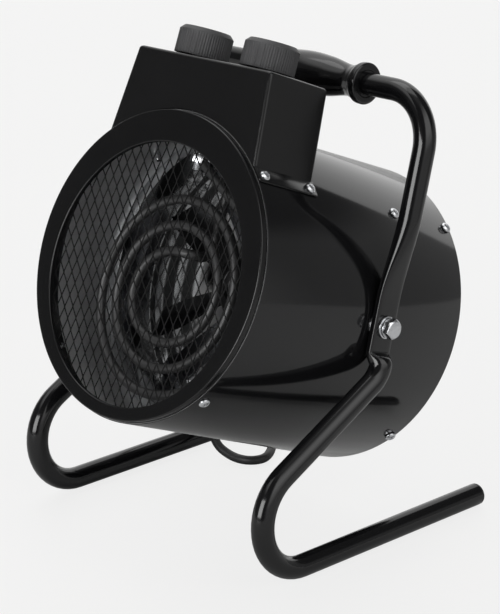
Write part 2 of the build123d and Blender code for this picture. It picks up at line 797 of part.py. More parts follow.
def stand_half(radius, thickness, width, corner):
    """Right half of the stand as one solid bar, for the tube's outside or for its bore."""
    flat_x = flat_inner_x + flat_thickness / 2
    round_top = flat_above + taper_above
    knee_turn = math.radians(90 - leg_lean - shin_slope)
    knee_start = knee_reach - knee_radius * math.tan(knee_turn / 2)
    top_path = FilletPolyline(leg_point(handle_reach), leg_point(handle_reach, leg_x),
                              leg_point(round_top, leg_x), radius=corner_radius)
    bar_start = Plane(origin=leg_point(handle_reach), z_dir=(1, 0, 0))
    solid = sweep(bar_start * Circle(radius), path=top_path)
    solid += leg_loft((flat_above, flat_x), flat_section(thickness, width, corner),
                      (round_top, leg_x), round_section(radius))
    solid += leg_loft((-flat_below, flat_x), flat_section(thickness, width, corner),
                      (flat_above, flat_x), flat_section(thickness, width, corner))
    solid += leg_loft((-knee_start, leg_x), round_section(radius),
                      (-flat_below, flat_x), flat_section(thickness, width, corner))
    knee = leg_point(-knee_reach, leg_x)
    shin_length = (knee.Z - tube_radius) / math.sin(shin)
    toe = Vector(leg_x, knee.Y - shin_length * math.cos(shin), tube_radius)
    heel = Vector(leg_x, pivot_y + foot_rear, tube_radius)
    low_path = FilletPolyline(leg_point(-knee_start, leg_x), knee, toe, heel,
                              radius=[knee_radius * 0.999, front_bend_radius])
    knee_plane = Plane(origin=leg_point(-knee_start, leg_x), z_dir=(0, -math.sin(lean), -math.cos(lean)))
    return solid + sweep(knee_plane * Circle(radius), path=low_path)


def stand_tube():
    """One bent tube: two feet, two legs flattened at the pivots, and the handle bar."""
    outside = stand_half(tube_radius, flat_thickness, flat_width, flat_corner)
    wall = 2 * tube_wall
    bore = stand_half(tube_radius - tube_wall, flat_thickness - wall, flat_width - wall,
                      flat_corner - tube_wall)
    half = outside - bore
    tube = half + mirror(half, Plane.YZ)
    hole = Pos(0, pivot_y, pivot_height) * bar_x(bolt_radius + run_clearance, -leg_x * 1.2, leg_x * 1.2)
    return tube - hole


def handle_grip():
    """Turned grip on the handle bar, swollen in the middle, with a rounded rim at each end."""
    bore = tube_radius + run_clearance
    rim_x = grip_half - grip_rim
    shoulder_x = rim_x - grip_rim / 2
    shoulder = (grip_flare + grip_neck) / 2
    quarter = grip_belly - (grip_belly - grip_neck) * 0.3
    swell = Spline((-shoulder_x, shoulder), (-grip_neck_x, grip_neck), (-grip_neck_x / 2, quarter),
                   (0, grip_belly), (grip_neck_x / 2, quarter), (grip_neck_x, grip_neck),
                   (shoulder_x, shoulder))
    edges = list(swell.edges())
    for side in (1, -1):
        start = Vector(side * shoulder_x, shoulder, 0)
        rise = Vector(side * rim_x, grip_flare, 0)
        crest = Vector(side * (grip_half - grip_rim * 0.3), grip_flare, 0)
        rounded = Vector(side * (grip_half - grip_rim * 0.1), grip_flare - grip_rim * 0.1, 0)
        end = Vector(side * grip_half, grip_flare - grip_rim * 0.3, 0)
        edges.append(Edge.make_line(start, rise))
        edges.append(Edge.make_line(rise, crest))
        edges.append(Edge.make_three_point_arc(crest, rounded, end))
        edges.append(Edge.make_line(end, Vector(side * grip_half, bore, 0)))
    edges.append(Edge.make_line(Vector(grip_half, bore, 0), Vector(-grip_half, bore, 0)))
    profile = make_face(Wire(edges))
    grip = revolve(profile, Axis.X)
    return Pos(0, leg_point(handle_reach).Y, leg_point(handle_reach).Z) * grip


def foot_caps():
    end_y = pivot_y + foot_rear
    stem_radius = tube_radius - tube_wall - run_clearance
    head = Pos(0, 0, cap_head / 2) * Cylinder(tube_radius - floor_gap, cap_head)
    head = fillet(head.edges().group_by(Axis.Z)[-1], cap_head * 0.7)
    stem = Pos(0, 0, -cap_stem / 2) * Cylinder(stem_radius, cap_stem)
    cap = Pos(leg_x, end_y + face_gap, tube_radius) * Rot(-90, 0, 0) * (head + stem)
    return both_sides(cap)


# ---------------------------------------------------------------- cord and plug
def report_tube(name, tube, length, radius):
    expected = math.pi * radius ** 2 * length
    print(f"{name}: length {length:.1f} mm, volume over section x length {tube.volume / expected:.4f}")


def corner_radii(name, points):
    """Largest even arc at each corner: 0.45 of the shorter run over the half turn's tangent."""
    radii = []
    for before, corner, after in zip(points, points[1:], points[2:]):
        run_in = corner - before
        run_out = after - corner
        half_turn = math.radians(run_in.get_angle(run_out)) / 2
        radii.append(0.45 * min(run_in.length, run_out.length) / math.tan(half_turn))
    print(name, "bend radii", [round(radius, 1) for radius in radii])
    return radii


def cord_tube(name, points):
    path = FilletPolyline(*points, radius=corner_radii(name, points))
    start = Plane(origin=points[0], z_dir=points[1] - points[0])
    tube = sweep(start * Circle(cord_radius), path=path)
    report_tube(name, tube, path.length, cord_radius)
    return tube


def from_pivot(x, y, z):
    return Vector(x, pivot_y + y, z)


def cord_lead():
    """The free stretch: out of the sleeve, down, over the far foot, round and back to the coil."""
    exit_y = -gland_s * math.cos(tilt)
    exit_z = pivot_height + gland_s * math.sin(tilt)
    start_x = relief_tip_x - seat_gap
    coil_x, coil_y = coil_center
    coil_start_y = coil_y - coil_radius
    points = [
        from_pivot(start_x, exit_y, exit_z),
        from_pivot(-163, exit_y, exit_z),
        from_pivot(-184, 53, 112),
        from_pivot(-188, 51, 84),
        from_pivot(-172, 49, 56),
        from_pivot(-140, 47, 38),
        from_pivot(-106, 40, 25),
        from_pivot(-91, 28, 11),
        from_pivot(-74, 29.8, cord_floor),
        from_pivot(-58, 32.4, cord_floor),
        from_pivot(-52, 44, cord_floor),
        from_pivot(-59, 57.5, cord_floor),
        from_pivot(-70.5, 71, cord_floor),
        from_pivot(-86, 91, cord_floor),
        from_pivot(-104, 105, cord_floor),
        from_pivot(-126, coil_start_y, cord_floor),
        from_pivot(coil_x + cord_diameter, coil_start_y, cord_floor),
    ]
    return cord_tube("cord lead", points)


def biarc(start, start_direction, end, end_direction):
    """Two arcs that join two points and run along the given directions at both."""
    chord = end - start
    both = start_direction + end_direction
    a = 2 * (start_direction.dot(end_direction) - 1)
    b = -2 * chord.dot(both)
    c = chord.dot(chord)
    reach = (-b - math.sqrt(b * b - 4 * a * c)) / (2 * a)
    if reach < 0:
        reach = (-b + math.sqrt(b * b - 4 * a * c)) / (2 * a)
    first = start + start_direction * reach
    second = end - end_direction * reach
    joint = (first + second) * 0.5
    joint_direction = (second - first).normalized()
    return [Edge.make_tangent_arc(start, start_direction, joint),
            Edge.make_tangent_arc(joint, joint_direction, end)]


def coil_path():
    """Half turns that spiral in on the floor, climb one layer, and spiral out again."""
    center_x, center_y = coil_center

    def at(x, y, z):
        return from_pivot(center_x + x, center_y + y, z)

    radius = coil_radius
    y = -coil_radius
    z = cord_floor
    edges = [Edge.make_line(at(cord_diameter, y, z), at(0, y, z))]
    for turn in range(coil_half_turns_in):
        side = -1 if turn % 2 == 0 else 1
        next_y = y - side * 2 * radius
        edges.append(Edge.make_three_point_arc(at(0, y, z), at(side * radius, (y + next_y) / 2, z),
                                               at(0, next_y, z)))
        y = next_y
        radius -= coil_pitch / 2
    side = -1 if coil_half_turns_in % 2 == 0 else 1
    next_y = y - side * 2 * radius
    slope = coil_layer_rise / (2 * radius)
    middle_direction = Vector(0, -side, slope).normalized()
    middle = at(side * radius, (y + next_y) / 2, z + coil_layer_rise / 2)
    edges += biarc(at(0, y, z), Vector(side, 0, 0), middle, middle_direction)
    z += coil_layer_rise
    edges += biarc(middle, middle_direction, at(0, next_y, z), Vector(-side, 0, 0))
    y = next_y
    radius += coil_pitch / 2
    for turn in range(coil_half_turns_out):
        side = -side
        next_y = y - side * 2 * radius
        edges.append(Edge.make_three_point_arc(at(0, y, z), at(side * radius, (y + next_y) / 2, z),
                                               at(0, next_y, z)))
        y = next_y
        radius += coil_pitch / 2
    heading = -side
    edges.append(Edge.make_line(at(0, y, z), at(heading * cord_diameter, y, z)))
    return Wire(edges), at(heading * cord_diameter, y, z)


def least_gap(wire):
    """Smallest free gap of the coil to itself, measured on points along its path."""
    step = 4.0
    count = int(wire.length / step)
    points = [wire.position_at(number / count) for number in range(count + 1)]
    apart = int(6 * cord_diameter / step)
    nearest = min((points[i] - points[j]).length
                  for i in range(count + 1) for j in range(i + apart, count + 1))
    return nearest - cord_diameter


def cord_coil():
    path, _ = coil_path()
    print(f"cord coil least gap to itself {least_gap(path):.2f} mm")
    start = Plane(origin=path.position_at(0), z_dir=path.tangent_at(0))
    coil = sweep(start * Circle(cord_radius), path=path)
    report_tube("cord coil", coil, path.length, cord_radius)
    return coil


plug_entry = Vector(-218, pivot_y + 162, plug_radius + floor_gap)


def cord_tail():
    """From the top of the coil down its side to the plug, which points backwards."""
    _, end = coil_path()
    points = [
        end,
        from_pivot(-183, end.Y - pivot_y, end.Z),
        from_pivot(-203, 126, end.Z + 3),
        from_pivot(-218, 146, plug_entry.Z),
        plug_entry,
    ]
    return cord_tube("cord tail", points)


def plug_frame(shape):
    """Place a shape, drawn upwards from the cord's end, on the plug's axis."""
    return Pos(*plug_entry) * Rot(-90, 0, 0) * shape


def plug_body():
    upright = (Align.CENTER, Align.CENTER, Align.MIN)
    neck = Cylinder(plug_neck_radius, plug_neck_length, align=upright)
    grip = Cone(plug_neck_radius + plug_shoulder, plug_radius * plug_taper, plug_body_length, align=upright)
    face = Cylinder(plug_radius, plug_face, align=upright)
    grip_z = plug_neck_length
    face_z = plug_neck_length + plug_body_length
    return plug_frame(neck + Pos(0, 0, grip_z) * grip + Pos(0, 0, face_z) * face)


def plug_pins():
    upright = (Align.CENTER, Align.CENTER, Align.MIN)
    face_z = plug_neck_length + plug_body_length + plug_face
    pin = Cylinder(pin_radius, pin_length, align=upright)
    return [plug_frame(Pos(side * pin_spacing / 2, 0, face_z) * pin) for side in (-1, 1)]


def gland_bore():
    return bar_x(cord_radius + run_clearance, -drum_radius * 2, 0, gland_s, 0)


def cable_gland():
    """Gland body: its thread passes through the casing and its hexagon seats outside."""
    hex_x = -(drum_radius + seat_gap + gland_hex_length)
    nut = Pos(hex_x, -gland_s, 0) * Rot(0, 90, 0) * hexagon(gland_hex, gland_hex_length)
    thread = bar_x(gland_thread, -(drum_radius + seat_gap), -(casing_bore - gland_inside), gland_s, 0)
    return nut + thread - gland_bore()


def cord_relief():
    """Tapered sleeve that holds the cord straight where it leaves the gland."""
    taper = Cone(relief_base, relief_tip, relief_length, align=(Align.CENTER, Align.CENTER, Align.MIN))
    sleeve = Pos(gland_face_x, -gland_s, 0) * Rot(0, -90, 0) * taper
    return sleeve - gland_bore()


def gland_locknut():
    outer_x = -math.sqrt((casing_bore - seat_gap) ** 2 - (gland_hex / math.sqrt(3)) ** 2)
    nut = Pos(outer_x, -gland_s, 0) * Rot(0, 90, 0) * hexagon(gland_hex, locknut_height)
    return nut - bar_x(gland_thread, -drum_radius * 2, 0, gland_s, 0)


def cord_entry():
    """The clamped length of cord inside the sleeve and the gland."""
    inner_x = -(casing_bore - 2 * gland_inside)
    return bar_x(cord_radius, relief_tip_x, inner_x, gland_s, 0)


# ---------------------------------------------------------------- the object
drum_nodes = {
    "drum_casing": drum_casing,
    "front_bezel": front_bezel,
    "front_net": front_net,
    "fan_duct": fan_duct,
    "heating_element": heating_element,
    "element_bracket": element_bracket,
    "element_nuts": element_nuts,
    "element_insulators": element_insulators,
    "element_studs": element_studs,
    "motor_bracket": motor_bracket,
    "motor_front_bell": motor_front_bell,
    "motor_stator": motor_stator,
    "motor_rear_bell": motor_rear_bell,
    "motor_shaft": motor_shaft,
    "fan_rotor": fan_rotor,
    "rear_grille": rear_grille,
    "control_box": control_box,
    "selector_switch": selector_switch,
    "thermostat": thermostat,
    "terminal_block": terminal_block,
    "thermal_cutout": thermal_cutout,
    "selector_knob": lambda: knob(knob_x),
    "selector_spindle": lambda: spindle(knob_x, switch_height),
    "thermostat_knob": lambda: knob(-knob_x),
    "thermostat_spindle": lambda: spindle(-knob_x, thermostat_height),
    "pivot_spacers": pivot_spacers,
    "pivot_washers": pivot_washers,
    "spring_washers": spring_washers,
    "pivot_bolts": pivot_bolts,
    "pivot_nuts": pivot_nuts,
    "box_screws": lambda: (screws_at(upper_angles, box_front_screw_s, flange_radius)
                           + screws_at(upper_angles, box_rear_screw_s, flange_radius)),
    "bezel_screws": lambda: screws_at(lower_angles, front_screw_s, drum_radius + face_gap),
    "bracket_screws": lambda: screws_at(all_angles, bracket_screw_s, drum_radius + face_gap),
    "rear_screws": lambda: screws_at(all_angles, rear_screw_s, drum_radius + face_gap),
    "cable_gland": cable_gland,
    "cord_relief": cord_relief,
    "gland_locknut": gland_locknut,
    "cord_entry": cord_entry,
}

stand_nodes = {
    "stand_tube": stand_tube,
    "handle_grip": handle_grip,
    "foot_caps": foot_caps,
    "cord_lead": cord_lead,
    "cord_coil": cord_coil,
    "cord_tail": cord_tail,
    "plug_body": plug_body,
    "plug_pins": plug_pins,
}


def write_node(name, shape):
    solids = []
    for piece in (shape if isinstance(shape, list) else [shape]):
        solids += list(piece.solids())
    whole = solids[0] if len(solids) == 1 else Compound(children=solids)
    export_step(whole, f"parts/{name}.step")


os.makedirs("parts", exist_ok=True)
for node_name, make in drum_nodes.items():
    made = make()
    if isinstance(made, list):
        made = [in_drum(piece) for piece in made]
    else:
        made = in_drum(made)
    write_node(node_name, made)
for node_name, make in stand_nodes.items():
    write_node(node_name, make())
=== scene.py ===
import json
import math
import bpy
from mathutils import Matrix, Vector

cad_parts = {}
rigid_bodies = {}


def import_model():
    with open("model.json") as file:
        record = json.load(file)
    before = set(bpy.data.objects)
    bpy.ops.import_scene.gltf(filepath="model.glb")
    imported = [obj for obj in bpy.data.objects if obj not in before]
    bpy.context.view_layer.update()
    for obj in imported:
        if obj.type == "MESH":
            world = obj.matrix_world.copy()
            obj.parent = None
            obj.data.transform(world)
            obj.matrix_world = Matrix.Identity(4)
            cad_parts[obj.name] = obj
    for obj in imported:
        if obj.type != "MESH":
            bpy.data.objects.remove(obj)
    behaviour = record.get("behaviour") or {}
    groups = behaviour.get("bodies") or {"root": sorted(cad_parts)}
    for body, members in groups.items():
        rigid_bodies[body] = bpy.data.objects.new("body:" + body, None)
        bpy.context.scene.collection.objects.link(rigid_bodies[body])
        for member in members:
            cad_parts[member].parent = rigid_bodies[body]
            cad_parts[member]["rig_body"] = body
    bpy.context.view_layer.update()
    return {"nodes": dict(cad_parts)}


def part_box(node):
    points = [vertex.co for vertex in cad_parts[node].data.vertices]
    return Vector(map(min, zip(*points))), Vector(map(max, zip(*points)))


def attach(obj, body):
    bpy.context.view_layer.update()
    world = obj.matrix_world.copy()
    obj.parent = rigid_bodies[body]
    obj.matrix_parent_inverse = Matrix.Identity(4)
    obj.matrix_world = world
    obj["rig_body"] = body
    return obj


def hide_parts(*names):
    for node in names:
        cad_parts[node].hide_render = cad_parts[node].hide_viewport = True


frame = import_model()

from types import SimpleNamespace

import bmesh
import bpy
from bpy.props import FloatProperty, FloatVectorProperty, IntProperty, PointerProperty
from bpy.types import Operator, Panel, PropertyGroup
from mathutils import Matrix, Vector

bl_info = {
    "name": "Drum fan heater",
    "version": (1, 0, 0),
    "blender": (4, 5, 0),
    "location": "3D View > Sidebar > Heater",
    "description": "Dresses the drum fan heater on its bent-tube stand",
    "category": "Object",
}

# The shared frame is in metres. Pieces are drawn in millimetres, in the drum's own frame or from
# the pivot axis, and a placing matrix brings them into the shared frame.
MM = 1000.0
bolt_low, bolt_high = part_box("pivot_bolts")
PIVOT = (bolt_low + bolt_high) / 2
PIVOT.x = 0.0
TILT = math.radians(22.0)
SMALL = Matrix.Scale(1 / MM, 4)
IN_DRUM = Matrix.Translation(PIVOT) @ Matrix.Rotation(-TILT, 4, "X") @ SMALL
FROM_PIVOT = Matrix.Translation((0.0, PIVOT.y, 0.0)) @ SMALL
# The knobs' axes, which the holes in the control box share: from the middle, and forward from
# the pivot axis, in millimetres.
KNOB_MIDDLE = 33.0
KNOB_ALONG = 92.65


# ---------------------------------------------------------------- sizes and colours
def length(name, description, millimetres):
    """A length property, kept in metres."""
    return FloatProperty(name=name, description=description, default=millimetres / MM, min=0.0,
                         unit="LENGTH", subtype="DISTANCE", precision=4)


def angle(name, description, degrees):
    return FloatProperty(name=name, description=description, default=math.radians(degrees),
                         unit="ROTATION", subtype="ANGLE")


def count(name, description, number):
    return IntProperty(name=name, description=description, default=number, min=1)


def colour(name, description, value):
    return FloatVectorProperty(name=name, description=description, default=value, size=3,
                               min=0.0, max=1.0, subtype="COLOR")


class HEATER_PG_drum(PropertyGroup):
    radius: length("Radius", "Outside radius of the casing", 110.0)
    wall: length("Wall", "Sheet thickness of the casing", 1.0)
    front: length("Front", "Pivot axis to the casing's front edge", 122.0)
    rear: length("Rear", "Pivot axis to the casing's rear edge", 85.5)
    edge: length("Edge", "Rounding of the casing's cut edges", 0.35)
    bezel_depth: length("Bezel depth", "How far the bezel stands out of the casing", 4.7)
    bezel_skirt: length("Bezel skirt", "How far the bezel reaches back into the casing", 16.0)
    bezel_sheet: length("Bezel sheet", "Sheet thickness of the bezel", 1.2)
    bezel_round: length("Bezel rounding", "Outside corner of the bezel", 1.0)
    opening_radius: length("Opening radius", "Radius of the bezel's opening", 92.6)
    opening_drop: length("Opening drop", "How far the opening sits below the drum's axis", 6.6)
    lip_length: length("Lip length", "Depth of the opening's turned-in lip", 3.6)


class HEATER_PG_net(PropertyGroup):
    radius: length("Net radius", "Reach of the net from the opening's centre", 98.0)
    short_way: length("Short way", "Width of one diamond", 8.43)
    long_way: length("Long way", "Height of one diamond", 16.76)
    lean: angle("Lean", "How far the diamonds lean from upright", 13.8)
    strand: length("Strand", "Width of one strand", 0.74)
    bond: length("Bond", "Length of the uncut bond where four strands meet", 1.4)
    sheet: length("Sheet", "Depth of the net", 1.0)


class HEATER_PG_element(PropertyGroup):
    radius: length("Tube radius", "Radius of the heating tube", 3.5)
    plane: length("Plane", "Pivot axis to the flat spiral", 96.0)
    outer: length("Outer turn", "Radius of the outermost turn's centreline", 78.2)
    step: length("Step", "Each half turn is this much tighter than the last", 9.2)
    oval: length("Oval", "How much wider than high each further half turn gets", 1.4)
    drop: length("Drop", "How far the outermost half turn sits below the drum's axis", 9.0)
    half_turns: count("Half turns", "Half turns after the outermost arc", 5)


class HEATER_PG_air(PropertyGroup):
    fan_radius: length("Fan radius", "Radius over the blades", 90.0)
    fan_plane: length("Fan plane", "Pivot axis to the middle of the hub", 26.0)
    hub_radius: length("Hub radius", "Radius of the fan's hub", 20.0)
    hub_length: length("Hub length", "Length of the fan's hub", 16.0)
    blades: count("Blades", "Number of blades", 6)
    pitch: angle("Blade pitch", "Pitch of a blade from the fan's plane", 32.0)


class HEATER_PG_box(PropertyGroup):
    top: length("Top", "Drum axis to the top of the box", 147.6)
    top_half: length("Half width at the top", "Middle to the side at the top", 66.3)
    foot_half: length("Half width at the foot", "Middle to the side at the foot", 74.1)
    foot: length("Foot", "Drum axis to the foot of the sides", 83.0)
    rear: length("Rear", "Pivot axis to the box's rear face", 63.3)
    edge: length("Edge", "Rounding of the folded edges", 2.4)
    seam: length("Seam", "Width of the open seam at the front corners", 0.7)
    sheet: length("Sheet", "Sheet thickness of the box", 1.0)


class HEATER_PG_knob(PropertyGroup):
    middle: length("From the middle", "Middle of the box to a knob's axis", KNOB_MIDDLE)
    radius: length("Radius", "Radius over the ribs", 19.5)
    height: length("Height", "Height of the knob", 20.0)
    base: length("Base", "Drum axis to the underside of the knob", 149.2)
    along: length("Along", "Pivot axis forward to the knob's axis", KNOB_ALONG)
    chamfer: length("Chamfer", "Chamfer round the top", 3.0)
    wall: length("Wall", "Wall of the hollow skirt", 2.2)
    ribs: count("Ribs", "Fine ribs round the side", 64)
    rib_depth: length("Rib depth", "Depth between two ribs", 0.55)


class HEATER_PG_stand(PropertyGroup):
    tube: length("Tube radius", "Outside radius of the bent tube", 8.0)
    wall: length("Tube wall", "Wall of the bent tube", 1.2)
    leg: length("Leg", "Middle of the stand to a leg's axis", 119.0)
    lean: angle("Lean", "Backward lean of the upper legs", 16.5)
    handle: length("Handle", "Pivot axis to the handle's axis", 161.5)
    corner: length("Corner", "Bend radius between a leg and the handle", 38.0)
    knee: length("Knee", "Pivot axis down to the knee's corner", 34.1)
    knee_bend: length("Knee bend", "Bend radius of the knee", 21.0)
    shin: angle("Shin", "Fall of the lower legs towards the front", 27.1)
    toe_bend: length("Front bend", "Bend radius at the front of a foot", 37.0)
    heel: length("Heel", "Pivot axis back to the tube's end", 93.0)
    flat_width: length("Flat width", "Width of the flattened part at the pivot", 21.0)
    flat_thickness: length("Flat thickness", "Thickness of the flattened part", 5.5)
    grip_half: length("Half grip", "Half the length of the grip", 56.0)
    grip_flare: length("Grip flare", "Radius of the grip's end collars", 14.9)
    grip_neck: length("Grip neck", "Radius of the grip's necks", 11.0)
    grip_belly: length("Grip belly", "Radius at the grip's middle", 15.5)


class HEATER_PG_cord(PropertyGroup):
    diameter: length("Diameter", "Diameter of the cord", 7.0)
    real_length: length("Length", "Whole free length of the cord", 1741.0)
    coil_radius: length("Coil radius", "Radius of the outermost turn", 50.0)
    turn_pitch: length("Turn pitch", "From one turn to the next", 7.8)
    layer_rise: length("Layer rise", "From one layer to the next", 7.6)


class HEATER_PG_colours(PropertyGroup):
    casing: colour("Casing", "Gloss paint of the drum", (0.0055, 0.0055, 0.006))
    bezel: colour("Bezel", "Paint of the bezel", (0.0045, 0.0045, 0.0048))
    box: colour("Box", "Satin paint of the control box", (0.0055, 0.0055, 0.0058))
    tube: colour("Tube", "Gloss paint of the stand", (0.004, 0.004, 0.0045))
    net: colour("Net", "Paint of the net", (0.0025, 0.0025, 0.0027))
    knob: colour("Knob", "Moulded plastic of the knobs", (0.05, 0.05, 0.052))
    grip: colour("Grip", "Moulded plastic of the grip", (0.006, 0.006, 0.0065))
    cord: colour("Cord", "Sheath of the cord", (0.012, 0.012, 0.0125))
    zinc: colour("Zinc", "Plated screws and bolts", (0.72, 0.73, 0.75))
    galvanised: colour("Galvanised steel", "Sheet of the duct", (0.46, 0.47, 0.48))
    element: colour("Element", "Oxidised sheath of the heating tube", (0.075, 0.075, 0.076))
    floor: colour("Floor", "Base of the pale sheet that also glows", (0.06, 0.06, 0.0596))


GROUPS = {
    "heater_drum": HEATER_PG_drum, "heater_net": HEATER_PG_net, "heater_element": HEATER_PG_element,
    "heater_air": HEATER_PG_air, "heater_box": HEATER_PG_box, "heater_knob": HEATER_PG_knob,
    "heater_stand": HEATER_PG_stand, "heater_cord": HEATER_PG_cord,
    "heater_colours": HEATER_PG_colours,
}


def sizes(group):
    """One group's lengths in millimetres, its angles in radians and its counts, by name."""
    held = getattr(bpy.context.scene, group)
    found = {}
    for item in held.bl_rna.properties:
        if item.identifier in ("rna_type", "name"):
            continue
        value = getattr(held, item.identifier)
        found[item.identifier] = value * MM if item.unit == "LENGTH" else value
    return SimpleNamespace(**found)


def paint(name):
    """One of the colours, with alpha."""
    return tuple(getattr(bpy.context.scene.heater_colours, name)) + (1.0,)


# ---------------------------------------------------------------- drawing meshes
def bend(before, corner, after, radius, steps):
    """Points on the arc that rounds a corner between its two neighbours."""
    a, b = (before - corner).normalized(), (after - corner).normalized()
    half = a.angle(b) / 2
    reach = radius / math.tan(half)
    centre = corner + (a + b).normalized() * (radius / math.sin(half))
    start, end = corner + a * reach - centre, corner + b * reach - centre
    sweep = math.pi - 2 * half
    made = []
    for k in range(steps + 1):
        t = k / steps
        part = start * math.sin((1 - t) * sweep) + end * math.sin(t * sweep)
        made.append(centre + part / math.sin(sweep))
    return made


def rounded(points, radii, steps=5, loop=False):
    """A flat outline of (x, y) with arcs for corners; a radius of 0 keeps the corner."""
    if not isinstance(radii, (list, tuple)):
        radii = [radii] * len(points)
    points = [Vector(p) for p in points]
    made = []
    for i, corner in enumerate(points):
        if not loop and i in (0, len(points) - 1) or radii[i] <= 0:
            made.append(corner)
        else:
            made += bend(points[i - 1], corner, points[(i + 1) % len(points)], radii[i], steps)
    return [(p.x, p.y) for p in made]


def smooth_step(low, high, value):
    """Rise softly from 0 to 1 while the value goes from low to high."""
    t = min(1.0, max(0.0, (value - low) / (high - low)))
    return t * t * (3 - 2 * t)


class Form:
    """A mesh under way: rings of points joined by faces."""

    def __init__(self):
        self.mesh = bmesh.new()

    def ring(self, points):
        return [self.mesh.verts.new(point) for point in points]

    def join(self, first, second, closed=True):
        """Faces between two rings of as many points, or from a ring to a single tip."""
        if len(first) == 1 or len(second) == 1:
            tip, rim = (first[0], second) if len(first) == 1 else (second[0], first)
            for i in range(len(rim)):
                self.mesh.faces.new((tip, rim[i], rim[(i + 1) % len(rim)]))
            return
        for i in range(len(first) if closed else len(first) - 1):
            j = (i + 1) % len(first)
            self.mesh.faces.new((first[i], first[j], second[j], second[i]))

    def loft(self, rings, closed=True, loop=False, ends=False):
        """Rings of points joined one to the next, to a loop or with both ends closed."""
        made = [self.ring(points) for points in rings]
        for first, second in zip(made, made[1:]):
            self.join(first, second, closed)
        if loop:
            self.join(made[-1], made[0], closed)
        if ends:
            for end in (made[0], made[-1]):
                if len(end) > 2:
                    self.mesh.faces.new(end)
        return made

    def turn(self, profile, steps, place=Matrix(), loop=False, shape=None):
        """Turn a profile of (radius, along) about the local Z; shape may vary the radius."""
        rings = []
        for radius, along in profile:
            if radius < 1e-6:
                rings.append([place @ Vector((0, 0, along))])
                continue
            points = []
            for k in range(steps):
                a = 2 * math.pi * k / steps
                r = shape(radius, along, a) if shape else radius
                points.append(place @ Vector((r * math.cos(a), r * math.sin(a), along)))
            rings.append(points)
        return self.loft(rings, loop=loop)

    def prism(self, outline, low, high, place=Matrix()):
        """A flat outline drawn out along the local Z."""
        return self.loft([[place @ Vector((x, y, z)) for x, y in outline] for z in (low, high)],
                         ends=True)

    def add(self, other, place=Matrix()):
        """Draw another form in here as well, turned and moved by a matrix."""
        copies = {v: self.mesh.verts.new(place @ v.co) for v in other.mesh.verts}
        for face in other.mesh.faces:
            self.mesh.faces.new([copies[v] for v in face.verts])

    def finished(self, name, place=Matrix()):
        """The form as a plain mesh with its faces outwards; the form itself is freed."""
        bmesh.ops.recalc_face_normals(self.mesh, faces=self.mesh.faces)
        mesh = bpy.data.meshes.new(name)
        self.mesh.to_mesh(mesh)
        self.mesh.free()
        mesh.transform(place)
        return mesh


# Places in the drum's frame: x to the side, s forward from the pivot axis and h up from the
# drum's axis. With ALONG_S, local Z runs along the drum's axis towards the front.
ALONG_S = Matrix.Rotation(math.radians(90), 4, "X")
ALONG_X = Matrix.Rotation(math.radians(90), 4, "Y")


def moved(x=0.0, s=0.0, h=0.0):
    return Matrix.Translation((x, -s, h))


def radial(degrees, s, radius):
    """Local Z points outwards from the drum's axis, at an angle from +X towards the top."""
    turn = Matrix.Rotation(math.radians(90 - degrees), 4, "Y")
    return moved(s=s) @ turn @ moved(h=radius)


def hexagon(flats):
    """Corners of a hexagon by its width across flats."""
    reach = flats / math.sqrt(3)
    angles = [math.radians(60 * k + 30) for k in range(6)]
    return [(reach * math.cos(a), reach * math.sin(a)) for a in angles]


def swept(path, section):
    """A form that carries a cross-section along a path without twisting it."""
    form = Form()
    rings = []
    side = None
    for i, point in enumerate(path):
        heading = (path[min(i + 1, len(path) - 1)] - path[max(i - 1, 0)]).normalized()
        if side is None:
            other = Vector((0, 0, 1)) if abs(heading.z) < 0.9 else Vector((1, 0, 0))
            side = heading.cross(other).normalized()
        side = (side - heading * side.dot(heading)).normalized()
        up = heading.cross(side)
        rings.append([point + side * a + up * b for a, b in section])
    form.loft(rings, ends=True)
    return form


def circle(radius, steps):
    angles = [2 * math.pi * k / steps for k in range(steps)]
    return [(radius * math.cos(a), radius * math.sin(a)) for a in angles]


# ---------------------------------------------------------------- finishing pieces
def settle(piece):
    """Turn the evaluated object, modifiers and all, into its own plain mesh."""
    seen = piece.evaluated_get(bpy.context.evaluated_depsgraph_get())
    mesh = bpy.data.meshes.new_from_object(seen)
    mesh.name = piece.name
    piece.modifiers.clear()
    piece.data = mesh
    return piece


def smooth(mesh, crease):
    """Shade a mesh smooth up to a crease in degrees."""
    for face in mesh.polygons:
        face.use_smooth = True
    mesh.set_sharp_from_angle(angle=math.radians(crease))


def hand_over(piece, body, look, replaces=()):
    """Give a finished piece its material, attach it to its body and hide the CAD nodes that it
    stands for.
    """
    piece.data.materials.clear()
    piece.data.materials.append(finish(look))
    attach(piece, body)
    if replaces:
        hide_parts(*replaces)
    return piece


def new_object(name, mesh):
    """An object at the origin, linked to the scene."""
    piece = bpy.data.objects.new(name, mesh)
    bpy.context.scene.collection.objects.link(piece)
    bpy.context.view_layer.update()
    return piece


def bevel(piece, width, segments, limit):
    """Round a piece's edges that are sharper than a limit in degrees."""
    rounding = piece.modifiers.new("Rounded edges", "BEVEL")
    rounding.width = width / MM
    rounding.segments = segments
    rounding.limit_method = "ANGLE"
    rounding.angle_limit = math.radians(limit)
    rounding.use_clamp_overlap = True


def make(name, form, body, look, replaces=(), place=IN_DRUM, crease=35, edge=0.0,
         wall=0.0):
    """Finish a form as a piece of the scene, in the shared frame."""
    bmesh.ops.remove_doubles(form.mesh, verts=form.mesh.verts, dist=1e-4)
    piece = new_object(name, form.finished(name, place))
    if wall:
        sheet = piece.modifiers.new("Sheet", "SOLIDIFY")
        sheet.thickness = wall / MM
        sheet.offset = -1
        sheet.use_even_offset = True
    if edge:
        bevel(piece, edge, 2, 35)
    if wall or edge:
        settle(piece)
    smooth(piece.data, crease)
    return hand_over(piece, body, look, replaces)


